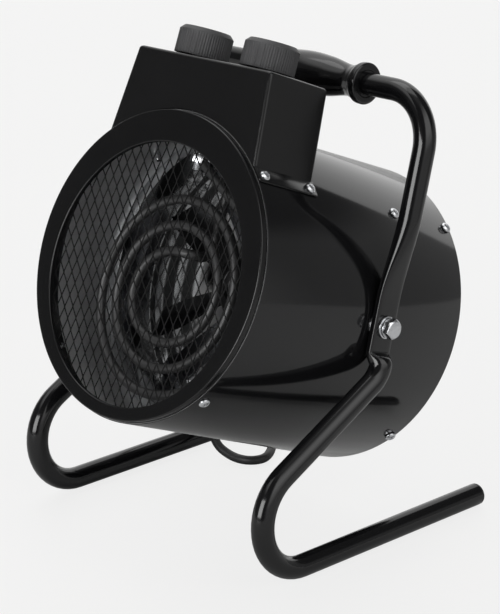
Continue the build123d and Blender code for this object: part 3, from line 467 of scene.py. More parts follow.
def dressed(node, look, edge=0.0, segments=2):
    """A merged copy of a CAD node with softened edges, which stands for that node."""
    crease = 30
    source = frame["nodes"][node]
    copy = bmesh.new()
    copy.from_mesh(source.data)
    bmesh.ops.remove_doubles(copy, verts=copy.verts, dist=1e-6)
    bmesh.ops.dissolve_limit(copy, angle_limit=math.radians(0.6), verts=copy.verts,
                             edges=copy.edges)
    mesh = bpy.data.meshes.new(node + "_piece")
    copy.to_mesh(mesh)
    copy.free()
    piece = new_object(node + "_piece", mesh)
    if edge:
        bevel(piece, edge, segments, crease)
        settle(piece)
    smooth(piece.data, crease)
    return hand_over(piece, source["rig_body"], look, (node,))


# ---------------------------------------------------------------- materials
class Signal:
    """A shader socket that takes Python's arithmetic; each operator adds its Math node."""

    def __init__(self, nodes, socket):
        self.nodes = nodes
        self.socket = socket

    def math(self, operation, *values):
        return self.nodes.add("ShaderNodeMath", {"operation": operation}, dict(enumerate(values)))

    def __add__(self, other):
        return self.math("ADD", self, other)

    __radd__ = __add__

    def __sub__(self, other):
        return self.math("SUBTRACT", self, other)

    def __rsub__(self, other):
        return self.math("SUBTRACT", other, self)

    def __mul__(self, other):
        return self.math("MULTIPLY", self, other)

    __rmul__ = __mul__

    def __pow__(self, other):
        return self.math("POWER", self, other)

    def __neg__(self):
        return self.math("MULTIPLY", self, -1.0)

    def over(self, threshold):
        return self.math("GREATER_THAN", self, threshold)

    def clamped(self, low, high):
        """Rise softly from 0 to 1 while the signal goes from low to high."""
        return self.nodes.add("ShaderNodeMapRange", {"interpolation_type": "SMOOTHSTEP"},
                              {"Value": self, "From Min": low, "From Max": high})


class Nodes:
    """Builds the nodes of one tree through a single method."""

    def __init__(self, tree):
        self.tree = tree
        tree.nodes.clear()

    def add(self, kind, settings=None, inputs=None, output=0):
        made = self.tree.nodes.new(kind)
        for name, value in (settings or {}).items():
            setattr(made, name, value)
        for name, value in (inputs or {}).items():
            socket = made.inputs[name]
            if isinstance(value, Signal):
                self.tree.links.new(value.socket, socket)
            else:
                socket.default_value = value
        return Signal(self, made.outputs[output]) if made.outputs else None


class Finish(Nodes):
    """One procedural material, on the piece's own Object coordinates in metres."""

    def __init__(self, name):
        self.material = bpy.data.materials.new(name)
        self.material.use_nodes = True
        super().__init__(self.material.node_tree)
        self.place = self.add("ShaderNodeTexCoord", output="Object")

    def mapped(self, stretch=(1, 1, 1), turn=(0, 0, 0), shift=(0, 0, 0)):
        return self.add("ShaderNodeMapping", {"vector_type": "POINT"},
                        {"Vector": self.place, "Scale": stretch, "Rotation": turn,
                         "Location": shift})

    def noise(self, size, detail=2.0, rough=0.5, stretch=(1, 1, 1), warp=0.0):
        """Noise whose features are about so many millimetres across, from 0 to 1."""
        return self.add("ShaderNodeTexNoise", {},
                        {"Vector": self.mapped(stretch), "Scale": MM / size,
                         "Detail": detail, "Roughness": rough, "Distortion": warp})

    def cells(self, size):
        """Cells about so many millimetres across, each in a colour of its own."""
        return self.add("ShaderNodeTexVoronoi", {"feature": "F1"},
                        {"Vector": self.mapped(), "Scale": MM / size}, "Color")

    def blend(self, factor, first, second):
        return self.add("ShaderNodeMix", {"data_type": "RGBA"},
                        {0: factor, 6: first, 7: second}, 2)

    def height(self, signal, strength, depth, below=None):
        """A bump of so many millimetres at full signal."""
        inputs = {"Height": signal, "Strength": strength, "Distance": depth / MM}
        if below is not None:
            inputs["Normal"] = below
        return self.add("ShaderNodeBump", {}, inputs)

    def surface(self, **values):
        named = {name.replace("_", " ").title().replace("Ior", "IOR"): value
                 for name, value in values.items()}
        shader = self.add("ShaderNodeBsdfPrincipled", {}, named)
        self.add("ShaderNodeOutputMaterial", {}, {"Surface": shader})
        return self.material


def tinted(tint, factor):
    """A lighter or darker tint."""
    return tuple(min(1.0, part * factor) for part in tint[:3]) + (1.0,)


def painted(name, tint, rough, spread, peel=0.012, dust=0.0, specular=0.5):
    """Sprayed paint: orange peel, slow changes of gloss, and a trace of pale dust."""
    f = Finish(name)
    slow = f.noise(34, 3.0)
    fine = f.noise(2.6, 2.0)
    specks = f.noise(0.9, 1.0).clamped(0.74, 0.82)
    base = f.blend(slow, tinted(tint, 0.85), tinted(tint, 1.2))
    if dust:
        base = f.blend(specks * dust, base, (0.35, 0.35, 0.34, 1.0))
    bump = f.height(fine, 0.5, peel, f.height(slow, 0.4, peel * 9))
    return f.surface(base_color=base, specular_ior_level=specular, normal=bump,
                     roughness=rough + spread * (slow - 0.5) + specks * dust * 0.3)


def moulded(name, tint, rough, texture=0.03, size=0.6, specular=0.4, spread=0.1):
    """Moulded plastic with a fine spark-eroded skin and faint flow marks."""
    f = Finish(name)
    skin = f.noise(size, 3.0, 0.6)
    flow = f.noise(16, 2.0, stretch=(1, 1, 0.3), warp=0.6)
    base = f.blend(flow, tinted(tint, 0.8), tinted(tint, 1.25))
    bump = f.height(skin, 0.6, texture)
    return f.surface(base_color=base, roughness=rough + spread * (skin - 0.5),
                     specular_ior_level=specular, normal=bump)


def metal(name, tint, rough, scratch=0.01, size=0.5, stretch=(1, 1, 1), stain=0.25):
    """Bare or plated metal: drawn or rolled lines, dull spots and a slight stain."""
    f = Finish(name)
    lines = f.noise(size, 4.0, 0.65, stretch)
    stains = f.noise(7, 3.0, 0.6)
    base = f.blend(stains, tinted(tint, 1.0), tinted(tint, 1.0 - stain))
    bump = f.height(lines, 0.5, scratch)
    return f.surface(base_color=base, metallic=1.0, roughness=rough + 0.22 * (stains - 0.45),
                     normal=bump)


def drum_place(f):
    """A point's x, y and z in the drum's own frame, in metres: the drum's front is towards -y."""
    back = Matrix.Rotation(TILT, 3, "X") @ PIVOT
    here = f.mapped(turn=(TILT, 0, 0), shift=tuple(-back))
    return [f.add("ShaderNodeSeparateXYZ", {}, {"Vector": here}, side) for side in "XYZ"]


def rolled_casing():
    """Gloss paint outside; inside, the rolled sheet's bare grey skin with soft streaks."""
    f = Finish("Casing_paint")
    tint = paint("casing")
    x, _, z = drum_place(f)
    reach = (x * x + z * z) ** 0.5
    inside = 1 - reach.clamped(0.1093, 0.1095)
    slow, fine = f.noise(34, 3.0), f.noise(2.6, 2.0)
    streaks = f.noise(9, 3.0, 0.6, (1, 0.35, 1))
    outer = f.blend(slow, tinted(tint, 0.85), tinted(tint, 1.2))
    inner = f.blend(streaks, (0.52, 0.52, 0.525, 1.0), (0.82, 0.82, 0.826, 1.0))
    rough = (0.085 + 0.03 * (slow - 0.5)) * (1 - inside) + (0.3 + 0.16 * streaks) * inside
    bump = f.height(fine, 0.5, 0.004, f.height(slow, 0.4, 0.036))
    return f.surface(base_color=f.blend(inside, outer, inner), roughness=rough,
                     metallic=0.7 * inside, specular_ior_level=0.5, normal=bump)


def galvanised_sheet():
    """Bright rolled sheet with a faint spangle and slight waves; its rolled grooves are bumped in
    and painted dark as shade.
    """
    f = Finish("Galvanised_sheet")
    tone = f.add("ShaderNodeSeparateColor", {}, {"Color": f.cells(11.0)}, "Red")
    haze = f.noise(1.4, 3.0)
    wave = f.noise(22, 2.0)
    tint = paint("galvanised")
    base = f.blend(tone, tinted(tint, 0.86), tinted(tint, 1.1))
    base = f.blend(haze * 0.2, base, tinted(tint, 0.6))
    _, y, _ = drum_place(f)
    s = 0.0 - y
    groove = 0.0
    for begins, deep, rises, ends in ((-5.5, -2.5, 4.5, 7.5), (-25.5, -22.5, -14.5, -11.5),
                                      (13.5, 15.0, 18.5, 20.0)):
        end = s.clamped(rises / MM, ends / MM)
        groove = groove + s.clamped(begins / MM, deep / MM) * (1 - end)
    # Painted shade: the grooves' colour is darkened to nearly black, as if shade lay in them.
    base = f.blend(groove * 0.94, base, tinted(tint, 0.08))
    bump = f.height(1 - groove, 0.5, 0.8, f.height(wave, 0.25, 0.15))
    return f.surface(base_color=base, metallic=1.0, normal=bump,
                     roughness=0.10 + 0.05 * tone + 0.03 * haze + 0.3 * groove)


def heating_tube():
    """Sheathed heating tube, dulled to a neutral dark grey by heat."""
    f = Finish("Heating_tube")
    heat = f.noise(30, 2.0)
    scale = f.noise(1.1, 4.0, 0.7)
    tint = paint("element")
    base = f.blend(heat, tinted(tint, 0.85), tinted(tint, 1.3))
    base = f.blend(scale.clamped(0.55, 0.8) * 0.4, base, tinted(tint, 1.7))
    bump = f.height(scale, 0.4, 0.02)
    return f.surface(base_color=base, metallic=0.8, roughness=0.40 + 0.14 * scale,
                     normal=bump)


def laminated_stack():
    """Pressed motor laminations: thin plates seen edge-on round the stack."""
    f = Finish("Laminated_stack")
    plates = f.add("ShaderNodeTexWave",
                   {"wave_type": "BANDS", "bands_direction": "Y", "wave_profile": "SIN"},
                   {"Vector": f.mapped(turn=(TILT, 0, 0)), "Scale": 160.0, "Distortion": 0.3,
                    "Detail": 1.0}, "Fac")
    rust = f.noise(5, 4.0, 0.7)
    base = f.blend(rust.clamped(0.5, 0.8) * 0.5, (0.16, 0.16, 0.17, 1.0),
                   (0.13, 0.075, 0.05, 1.0))
    base = f.blend(plates * 0.35, base, (0.07, 0.07, 0.075, 1.0))
    return f.surface(base_color=base, metallic=0.7, roughness=0.42 + 0.2 * rust,
                     normal=f.height(plates, 0.5, 0.08))


def glazed_ceramic():
    """Off-white glaze with slow clouds and a few brown specks."""
    f = Finish("Glazed_ceramic")
    cloud = f.noise(4, 3.0)
    specks = f.noise(0.7, 2.0).clamped(0.68, 0.76)
    base = f.blend(cloud, (0.78, 0.75, 0.69, 1.0), (0.88, 0.86, 0.82, 1.0))
    base = f.blend(specks * 0.4, base, (0.35, 0.28, 0.2, 1.0))
    return f.surface(base_color=base, roughness=0.2 + 0.15 * cloud,
                     normal=f.height(cloud, 0.2, 0.04))


def cord_sheath():
    """Round rubber sheath with a soft mottled skin and slight extrusion lines."""
    f = Finish("Cord_sheath")
    skin = f.noise(0.8, 3.0, 0.6)
    worn = f.noise(18, 2.0)
    tint = paint("cord")
    base = f.blend(worn, tinted(tint, 0.75), tinted(tint, 1.5))
    return f.surface(base_color=base, roughness=0.38 + 0.16 * worn + 0.08 * skin,
                     specular_ior_level=0.45, normal=f.height(skin, 0.4, 0.04))


def matt_sheet(name, tones, glow):
    """A matt sheet with slow clouds between two tones, and between two strengths of glow."""
    f = Finish(name)
    cloud = f.noise(260, 3.0)
    fibre = f.noise(2.0, 2.0)
    return f.surface(base_color=f.blend(cloud, *tones), roughness=0.62 + 0.05 * fibre,
                     specular_ior_level=0.12, emission_color=f.blend(cloud, *glow),
                     emission_strength=1.0, normal=f.height(fibre, 0.1, 0.02))


def backdrop_sheet():
    """The lit white sheet that the camera sees: nearly even, so shadows on it stay faint."""
    tint = paint("floor")
    return matt_sheet("Backdrop_sheet", (tinted(tint, 0.992), tinted(tint, 1.008)),
                      ((0.812, 0.812, 0.81, 1.0), (0.816, 0.816, 0.814, 1.0)))


def studio_floor():
    """Matt white floor: what the gloss paint mirrors, with the object's own shadow on it."""
    return matt_sheet("Pale_floor", ((0.86, 0.86, 0.858, 1.0), (0.87, 0.87, 0.868, 1.0)),
                      ((0.05, 0.05, 0.0497, 1.0),) * 2)


FINISHES = {
    "casing_paint": rolled_casing,
    "bezel_paint": lambda: painted("Bezel_paint", paint("bezel"), 0.17, 0.04, 0.006, 0.05, 0.4),
    "box_paint": lambda: painted("Box_paint", paint("box"), 0.2, 0.04, 0.008, 0.02, 0.45),
    "tube_paint": lambda: painted("Tube_paint", paint("tube"), 0.13, 0.04, 0.006, 0.0),
    "net_paint": lambda: painted("Net_paint", paint("net"), 0.46, 0.1, 0.02, 0.0, 0.22),
    "grille_paint": lambda: painted("Grille_paint", paint("bezel"), 0.3, 0.08, 0.012, 0.05),
    "knob_plastic": lambda: moulded("Knob_plastic", paint("knob"), 0.52, 0.05, 0.5),
    "grip_plastic": lambda: moulded("Grip_plastic", paint("grip"), 0.14, 0.008, 3.0, 0.5, 0.06),
    "rubber": lambda: moulded("Rubber", (0.018, 0.018, 0.018, 1.0), 0.6, 0.06, 0.8),
    "plug_plastic": lambda: moulded("Plug_plastic", (0.016, 0.016, 0.017, 1.0), 0.45, 0.05, 0.5),
    "white_plastic": lambda: moulded("White_plastic", (0.72, 0.71, 0.67, 1.0), 0.45, 0.02, 1.0),
    "brown_plastic": lambda: moulded("Brown_plastic", (0.14, 0.06, 0.03, 1.0), 0.35, 0.03, 0.8),
    "zinc_plate": lambda: metal("Zinc_plate", paint("zinc"), 0.24, 0.012, 0.6, stain=0.2),
    "nickel_plate": lambda: metal("Nickel_plate", (0.7, 0.67, 0.62, 1.0), 0.16, 0.006, 0.8),
    "bracket_steel": lambda: metal("Bracket_steel", (0.42, 0.42, 0.44, 1.0), 0.3, 0.02, 0.7,
                                   (1, 0.08, 1)),
    "fan_aluminium": lambda: metal("Fan_aluminium", (0.045, 0.045, 0.046, 1.0), 0.3, 0.012, 0.6,
                                   (0.12, 1, 1), stain=0.3),
    "cast_aluminium": lambda: metal("Cast_aluminium", (0.5, 0.51, 0.52, 1.0), 0.42, 0.08, 1.4),
    "shaft_steel": lambda: metal("Shaft_steel", (0.55, 0.55, 0.56, 1.0), 0.2, 0.006, 0.5),
    "galvanised": galvanised_sheet,
    "heating_tube": heating_tube,
    "laminations": laminated_stack,
    "ceramic": glazed_ceramic,
    "cord_sheath": cord_sheath,
    "floor": studio_floor,
    "backdrop": backdrop_sheet,
}
made_finishes = {}


def finish(name):
    """A finish by name, made once."""
    if name not in made_finishes:
        made_finishes[name] = FINISHES[name]()
    return made_finishes[name]


# ---------------------------------------------------------------- stage
def studio_world():
    """Soft surroundings: bright behind and above, dim on the near side with a wide window."""
    world = bpy.data.worlds.new("Soft_studio")
    world.use_nodes = True
    n = Nodes(world.node_tree)
    ahead = n.add("ShaderNodeTexCoord", output="Generated")
    x, y, z = (n.add("ShaderNodeSeparateXYZ", {}, {"Vector": ahead}, side) for side in "XYZ")
    round_about = x.math("ARCTAN2", y, x) * (180 / math.pi)
    up = z.math("ARCSINE", z) * (180 / math.pi)
    above = z.clamped(0.58, 0.80)
    behind = y.clamped(-0.15, 0.40)
    far = (0.12 + 0.93 * behind) * (1 - above) + above * 1.3
    beside = round_about.clamped(-50, -24) * (1 - round_about.clamped(18, 44))
    aside = round_about.clamped(-52, -30)
    low = 0.09 + (0.21 + 0.30 * beside) * aside * (1 - up.clamped(14, 24))
    window = round_about.clamped(-44, -26) * (1 - round_about.clamped(24, 40))
    window = window * up.clamped(2, 34) * (1 - up.clamped(46, 80))
    near = low + 1.8 * window + 0.3 * up.clamped(60, 88)
    far_side = (0.015 - x - 0.33 * z * z).clamped(-0.006, 0.006)
    around = near * (1 - far_side) + far * far_side
    seen = n.add("ShaderNodeLightPath", output="Is Camera Ray")
    strength = around * (1 - seen) + seen * 0.9
    light = n.add("ShaderNodeBackground", {},
                  {"Color": (1.0, 1.0, 0.997, 1.0), "Strength": strength})
    n.add("ShaderNodeOutputWorld", {}, {"Surface": light})
    return world


def soft_light(name, place, target, width, height, power):
    """A rectangular lamp that looks from its place towards a target."""
    lamp = bpy.data.lights.new(name, "AREA")
    lamp.shape = "RECTANGLE"
    lamp.size = width
    lamp.size_y = height
    lamp.energy = power
    lamp_object = bpy.data.objects.new(name, lamp)
    bpy.context.scene.collection.objects.link(lamp_object)
    heading = Vector(target) - Vector(place)
    lamp_object.location = place
    lamp_object.rotation_euler = heading.to_track_quat("-Z", "Y").to_euler()


CAMERA_PLACE = (1.2360, -1.1781, 0.6971)
CAMERA_RIGHT = (0.69389, 0.71989, -0.01661)
CAMERA_AHEAD = (-0.6894, 0.65748, -0.30407)
SENSOR_WIDTH = 36.0
FOCAL_LENGTH = 146.25
# The sheets' outline in metres. What the camera sees lies a hair above what is mirrored.
SHEET_EDGE = [(-9, -9), (0.74, -9), (0.74, 0.5), (0.68, 0.75), (0.68, 9), (-9, 9)]
SHEET_THICKNESS = 0.0002
SHEETS = (("Backdrop", "backdrop", 0.0), ("Floor", "floor", -0.0005))
# Each lamp is (name, place, target, width, height, power).
LAMPS = (("Front_softbox", (0.07, -1.95, 0.66), (0.0, 0.0, 0.16), 1.25, 0.95, 24.0),
         ("Top_softbox", (-0.5, 0.3, 2.1), (0.0, 0.0, 0.15), 1.2, 1.2, 6.0))


class HEATER_OT_stage(Operator):
    """Set up the camera, the pale floor and the soft studio light"""
    bl_idname = "heater.stage"
    bl_label = "Stage"

    def execute(self, context):
        scene = context.scene
        scene.view_settings.view_transform = "Standard"
        right = Vector(CAMERA_RIGHT).normalized()
        ahead = Vector(CAMERA_AHEAD)
        ahead = (ahead - right * ahead.dot(right)).normalized()
        down = ahead.cross(right)
        turn = Matrix((right, -down, -ahead)).transposed().to_4x4()
        lens = bpy.data.cameras.new("Camera")
        lens.sensor_width = SENSOR_WIDTH
        lens.lens = FOCAL_LENGTH
        lens.clip_start = 0.05
        lens.clip_end = 40.0
        camera = bpy.data.objects.new("Camera", lens)
        camera.matrix_world = Matrix.Translation(CAMERA_PLACE) @ turn
        scene.collection.objects.link(camera)
        scene.camera = camera

        for name, kind, top in SHEETS:
            form = Form()
            form.prism(SHEET_EDGE, top, top - SHEET_THICKNESS)
            sheet = new_object(name, form.finished(name))
            sheet.data.materials.append(finish(kind))
            sheet.visible_camera = kind == "backdrop"
            sheet.visible_glossy = sheet.visible_diffuse = kind == "floor"

        scene.world = studio_world()
        for lamp in LAMPS:
            soft_light(*lamp)
        return {"FINISHED"}


# ---------------------------------------------------------------- cord
COIL_CENTRE = (-155, 160)
PLUG_SEAT = (-218, 162, 18.1)
PIN_MIDDLE = 9.5


def cord_route(cord):
    """Control points of the cord in millimetres, measured from the pivot axis along Y."""
    floor = cord.diameter / 2 + 0.1
    lead = [
        (-140.6, 53.78, 136.77), (-163, 53.78, 136.77), (-184, 53, 112), (-188, 51, 84),
        (-172, 49, 56), (-140, 47, 38), (-106, 40, 25), (-91, 28, 11), (-74, 29.8, floor),
        (-58, 32.4, floor), (-52, 44, floor), (-59, 57.5, floor), (-70.5, 71, floor),
        (-86, 91, floor), (-104, 105, floor), (-126, 109.2, floor), (-148, 108.05, floor),
    ]
    turns = []
    step = 22.5
    spread = 1 / math.cos(math.radians(step / 2))
    first = cord.coil_radius + cord.turn_pitch / 4
    inner = first - 2.5 * cord.turn_pitch
    top = floor + cord.layer_rise
    climb_from, climb_to = 900, 1080
    for number in range(80):
        turned = step * (number + 0.5)
        if turned < climb_from:
            radius, height = first - cord.turn_pitch * turned / 360, floor
        elif turned < climb_to:
            climb = (turned - climb_from) / (climb_to - climb_from)
            radius = inner - 1.3 * math.sin(math.pi * climb)
            height = floor + cord.layer_rise * smooth_step(0, 1, climb)
        else:
            radius, height = inner + cord.turn_pitch * (turned - climb_to) / 360, top
        a = math.radians(-90 - turned)
        turns.append((COIL_CENTRE[0] + radius * spread * math.cos(a),
                      COIL_CENTRE[1] + radius * spread * math.sin(a), height))
    plug_x, plug_y, plug_h = PLUG_SEAT
    tail = [(-183, 113.6, top), (-203, 124, top + 3), (plug_x, plug_y - 17, plug_h), PLUG_SEAT]
    return lead + turns + tail


def plug_form():
    """Moulded two-pin plug: ribbed neck, waisted grip and a round face."""
    form = Form()
    neck = [(3.55, 0.0), (5.0, 0.0)]
    for rib in range(4):
        z = 1.6 + rib * 3.2
        neck += [(5.9, z - 0.8), (5.9, z + 0.6), (4.7, z + 1.0), (4.7, z + 1.9)]
    body = rounded([(5.9, 14.2), (9.0, 16.0), (9.4, 22), (14.0, 36), (14.4, 41), (17.0, 42.2),
                    (18.0, 43.4), (18.0, 50.0), (0, 50.0)], [0, 1.5, 5, 7, 2, 1.0, 0.9, 1.4, 0], 4)

    def waist(radius, along, a):
        hold = smooth_step(16, 22, along) * (1 - smooth_step(36, 43, along))
        return radius * (1 - 0.16 * hold * (0.5 - 0.5 * math.cos(2 * a)))

    form.turn([(0.0, 0.4), (3.4, 0.0)] + neck + body, 64, shape=waist)
    return form


def pins_form():
    """Two round pins with domed tips and a low collar at the plug's face."""
    form = Form()
    tip = rounded([(2.4, 50.0), (2.4, 69.0), (0, 69.0)], [0, 1.6, 0], 4)
    collar = [(0, 49.5), (2.9, 49.5), (2.9, 50.5), (2.4, 50.6)]
    for side in (-1, 1):
        form.turn(collar + tip, 24, Matrix.Translation((side * PIN_MIDDLE, 0, 0)))
    return form


def relief_form():
    """Tapered sleeve with a stepped flange and open ribs towards its tip."""
    form = Form()
    profile = [(3.6, 0.0), (8.0, 0.0), (8.0, 2.6), (7.4, 3.2)]
    for rib in range(5):
        z = 4.4 + rib * 3.9
        outer = 7.6 - 0.128 * z
        profile += [(outer, z), (outer - 0.1, z + 2.4), (outer - 1.0, z + 2.7),
                    (outer - 1.15, z + 3.6)]
    profile += [(4.9, 23.7), (4.6, 24.0), (3.6, 24.0)]
    form.turn(profile, 40, loop=True)
    return form


class HEATER_OT_cord(Operator):
    """Lay the cord from its gland to the plug, with its coil on the floor"""
    bl_idname = "heater.cord"
    bl_label = "Cord and plug"

    def execute(self, context):
        cord = sizes("heater_cord")
        line = bpy.data.curves.new("Cord", "CURVE")
        line.dimensions = "3D"
        line.bevel_depth = cord.diameter / 2 / MM
        line.bevel_resolution = 4
        line.use_fill_caps = True
        spline = line.splines.new("NURBS")
        points = [FROM_PIVOT @ Vector(p) for p in cord_route(cord)]
        spline.points.add(len(points) - 1)
        for point, place in zip(spline.points, points):
            point.co = (*place, 1.0)
        spline.order_u = 3
        spline.use_endpoint_u = True
        spline.resolution_u = 6
        lead = new_object("Cord", line)
        hand_over(lead, "stand", "cord_sheath",
                  ("cord_lead", "cord_coil", "cord_tail"))

        to_plug = (FROM_PIVOT @ Matrix.Translation(PLUG_SEAT)
                   @ Matrix.Rotation(math.radians(-90), 4, "X"))
        plug = make("Plug", plug_form(), "stand", "plug_plastic", ("plug_body",),
                    to_plug, crease=50)
        pins = make("Plug_pins", pins_form(), "stand", "nickel_plate",
                    ("plug_pins",), to_plug, crease=50)
        at_gland = IN_DRUM @ moved(-116.3, -58) @ ALONG_X @ Matrix.Rotation(math.pi, 4, "X")
        relief = make("Cord_sleeve", relief_form(), "drum", "rubber",
                      ("cord_relief",), at_gland, crease=40)
        dressed("cable_gland", "plug_plastic", 0.5)
        dressed("gland_locknut", "plug_plastic", 0.4)
        entry = frame["nodes"]["cord_entry"].data.materials
        entry.clear()
        entry.append(finish("cord_sheath"))
        return {"FINISHED"}


# ---------------------------------------------------------------- drum
# The casing's opening under the control box, as (x, -s) corners and the cutter's reach in h.
WINDOW_CORNERS = [(-16, -102), (22, -102), (22, -70), (-16, -70)]
WINDOW_REACH = (60, 112)


def drum_window():
    """Cutter for the opening under the control box, where the element's ends stand up."""
    form = Form()
    form.prism(WINDOW_CORNERS, *WINDOW_REACH)
    return form


def cut(piece, cutter, place):
    """Cut one piece with a form, then forget the cutter."""
    tool = new_object("cutter", cutter.finished("cutter", place))
    modifier = piece.modifiers.new("Cut", "BOOLEAN")
    modifier.operation = "DIFFERENCE"
    modifier.solver = "EXACT"
    modifier.object = tool
    settle(piece)
    bpy.data.objects.remove(tool)
    return piece


class HEATER_OT_drum(Operator):
    """Roll the drum's casing, with rounded cut edges and the opening under the box"""
    bl_idname = "heater.drum"
    bl_label = "Drum casing"

    def execute(self, context):
        drum = sizes("heater_drum")
        inner = drum.radius - drum.wall
        outline = [(inner, -drum.rear), (drum.radius, -drum.rear), (drum.radius, drum.front),
                   (inner, drum.front)]
        form = Form()
        form.turn(rounded(outline, drum.edge, 3, loop=True), 256, ALONG_S, loop=True)
        casing = make("Drum_casing", form, "drum", "casing_paint",
                      ("drum_casing",), crease=45)
        cut(casing, drum_window(), IN_DRUM)
        smooth(casing.data, 45)
        return {"FINISHED"}


def bezel_form(drum):
    """Pressed ring: a skirt in the casing, a flat face, and a lip round the low-set opening."""
    front = drum.front + drum.bezel_depth
    outer = drum.radius - drum.wall - 0.3
    sheet = drum.bezel_sheet
    lip = front - drum.lip_length
    outline = [(drum.opening_radius, lip), (drum.opening_radius, front), (outer, front),
               (outer, drum.front - drum.bezel_skirt),
               (outer - sheet, drum.front - drum.bezel_skirt),
               (outer - sheet, front - sheet), (drum.opening_radius + sheet, front - sheet),
               (drum.opening_radius + sheet, lip)]
    rounding = [0.4, 0.9, drum.bezel_round, 0.4, 0.4, 0.3, 0.3, 0.4]
    form = Form()
    rings = []
    middle = (drum.opening_radius + outer) / 2
    for reach, s in rounded(outline, rounding, 4, loop=True):
        drop = drum.opening_drop if reach < middle else 0.0
        rings.append([(x, -s, h - drop) for x, h in circle(reach, 256)])
    form.loft(rings, loop=True)
    return form


def net_strands(net):
    """One repeat of the net: two flat strands that share a bond and part towards its neighbours."""
    form = Form()
    half_bond = net.bond / 2
    near = net.strand * 0.46
    tilt = math.radians(6)
    half_width, half_depth = net.strand / 2, 0.24
    corners = []
    for a, b in ((-half_depth, -half_width), (half_depth, -half_width), (half_depth, half_width),
                 (-half_depth, half_width)):
        corners.append((a * math.cos(tilt) - b * math.sin(tilt),
                        a * math.sin(tilt) + b * math.cos(tilt)))
    for side in (1, -1):
        level = -0.12 * side
        path = [Vector((side * near, level, -half_bond)), Vector((side * near, level, half_bond)),
                Vector((side * (net.short_way / 2 - near), -level, net.long_way / 2 - half_bond))]
        form.add(swept(path, corners))
    return new_object("net_strands", form.finished("net_strands"))


def node_group(name, inputs):
    """An empty geometry tree with named inputs and one geometry output."""
    tree = bpy.data.node_groups.new(name, "GeometryNodeTree")
    for label, kind, value in inputs:
        socket = tree.interface.new_socket(label, in_out="INPUT", socket_type=kind)
        if value is not None:
            socket.default_value = value
    tree.interface.new_socket("Geometry", in_out="OUTPUT", socket_type="NodeSocketGeometry")
    n = Nodes(tree)
    given = tree.nodes.new("NodeGroupInput")
    values = {label: Signal(n, given.outputs[label]) for label, _, _ in inputs}
    return n, values


def scatter(n, points, item, rotation, look):
    """End a tree: one item on every point, realized, with its material set."""
    source = n.add("GeometryNodeObjectInfo", {}, {"Object": item}, "Geometry")
    placed = n.add("GeometryNodeInstanceOnPoints", {},
                   {"Points": points, "Instance": source, "Rotation": rotation})
    real = n.add("GeometryNodeRealizeInstances", {}, {"Geometry": placed})
    made = n.add("GeometryNodeSetMaterial", {}, {"Geometry": real, "Material": look})
    n.add("NodeGroupOutput", {}, {"Geometry": made})
    return n.tree


def grown(tree, piece, values):
    """Run a tree on a piece with its inputs set by identifier, and keep the plain mesh."""
    modifier = piece.modifiers.new(tree.name, "NODES")
    modifier.node_group = tree
    for item in tree.interface.items_tree:
        if item.in_out == "INPUT" and item.name in values:
            modifier[item.identifier] = values[item.name]
    piece.update_tag()
    bpy.context.view_layer.update()
    return settle(piece)


def net_tree():
    """Strands on every point of a leaning diamond lattice inside a circle."""
    n, given = node_group("Expanded net", (
        ("Geometry", "NodeSocketGeometry", None), ("Strands", "NodeSocketObject", None),
        ("Short way", "NodeSocketFloat", 8.4), ("Long way", "NodeSocketFloat", 16.8),
        ("Lean", "NodeSocketFloat", 0.24), ("Anchor", "NodeSocketVector", None),
        ("Centre", "NodeSocketVector", None), ("Radius", "NodeSocketFloat", 98.0),
        ("Finish", "NodeSocketMaterial", None)))
    cells = 50
    grid = n.add("GeometryNodeMeshGrid", {},
                 {"Size X": cells, "Size Y": cells, "Vertices X": cells + 1,
                  "Vertices Y": cells + 1}, "Mesh")
    spot = n.add("GeometryNodeInputPosition", {}, {}, "Position")
    i = n.add("ShaderNodeSeparateXYZ", {}, {"Vector": spot}, "X")
    j = n.add("ShaderNodeSeparateXYZ", {}, {"Vector": spot}, "Y")
    upright = n.add("ShaderNodeCombineXYZ", {}, {"X": (i + j) * given["Short way"] * 0.5,
                                                 "Z": (j - i) * given["Long way"] * 0.5})
    turned = n.add("ShaderNodeVectorRotate", {"rotation_type": "Y_AXIS"},
                   {"Vector": upright, "Angle": -given["Lean"]})
    placed = n.add("ShaderNodeVectorMath", {"operation": "ADD"}, {0: turned, 1: given["Anchor"]},
                   "Vector")
    lattice = n.add("GeometryNodeSetPosition", {}, {"Geometry": grid, "Position": placed})
    apart = n.add("ShaderNodeVectorMath", {"operation": "DISTANCE"},
                  {0: spot, 1: given["Centre"]}, "Value")
    kept_points = n.add("GeometryNodeDeleteGeometry", {"domain": "POINT"},
                        {"Geometry": lattice, "Selection": apart.over(given["Radius"])})
    spin = n.add("ShaderNodeCombineXYZ", {}, {"Y": -given["Lean"]})
    return scatter(n, kept_points, given["Strands"], spin, given["Finish"])


NET_ANCHOR = (40.3, 8.6)    # a bond of the net, as x and h


class HEATER_OT_front(Operator):
    """Press the front bezel and stretch the expanded-metal net behind its opening"""
    bl_idname = "heater.front"
    bl_label = "Bezel and net"

    def execute(self, context):
        drum, net = sizes("heater_drum"), sizes("heater_net")
        make("Front_bezel", bezel_form(drum), "drum", "bezel_paint",
             ("front_bezel",), crease=50)
        strands = net_strands(net)
        plane = drum.front + drum.bezel_depth - drum.lip_length - 0.3 - net.sheet / 2
        piece = new_object("Front_net", bpy.data.meshes.new("Front_net"))
        grown(net_tree(), piece, {
            "Strands": strands, "Short way": net.short_way, "Long way": net.long_way,
            "Lean": net.lean, "Anchor": (NET_ANCHOR[0], -plane, NET_ANCHOR[1]),
            "Centre": (0.0, -plane, -drum.opening_drop), "Radius": net.radius,
            "Finish": finish("net_paint")})
        bpy.data.objects.remove(strands)
        piece.data.transform(IN_DRUM)
        hand_over(piece, "drum", "net_paint", ("front_net",))
        return {"FINISHED"}


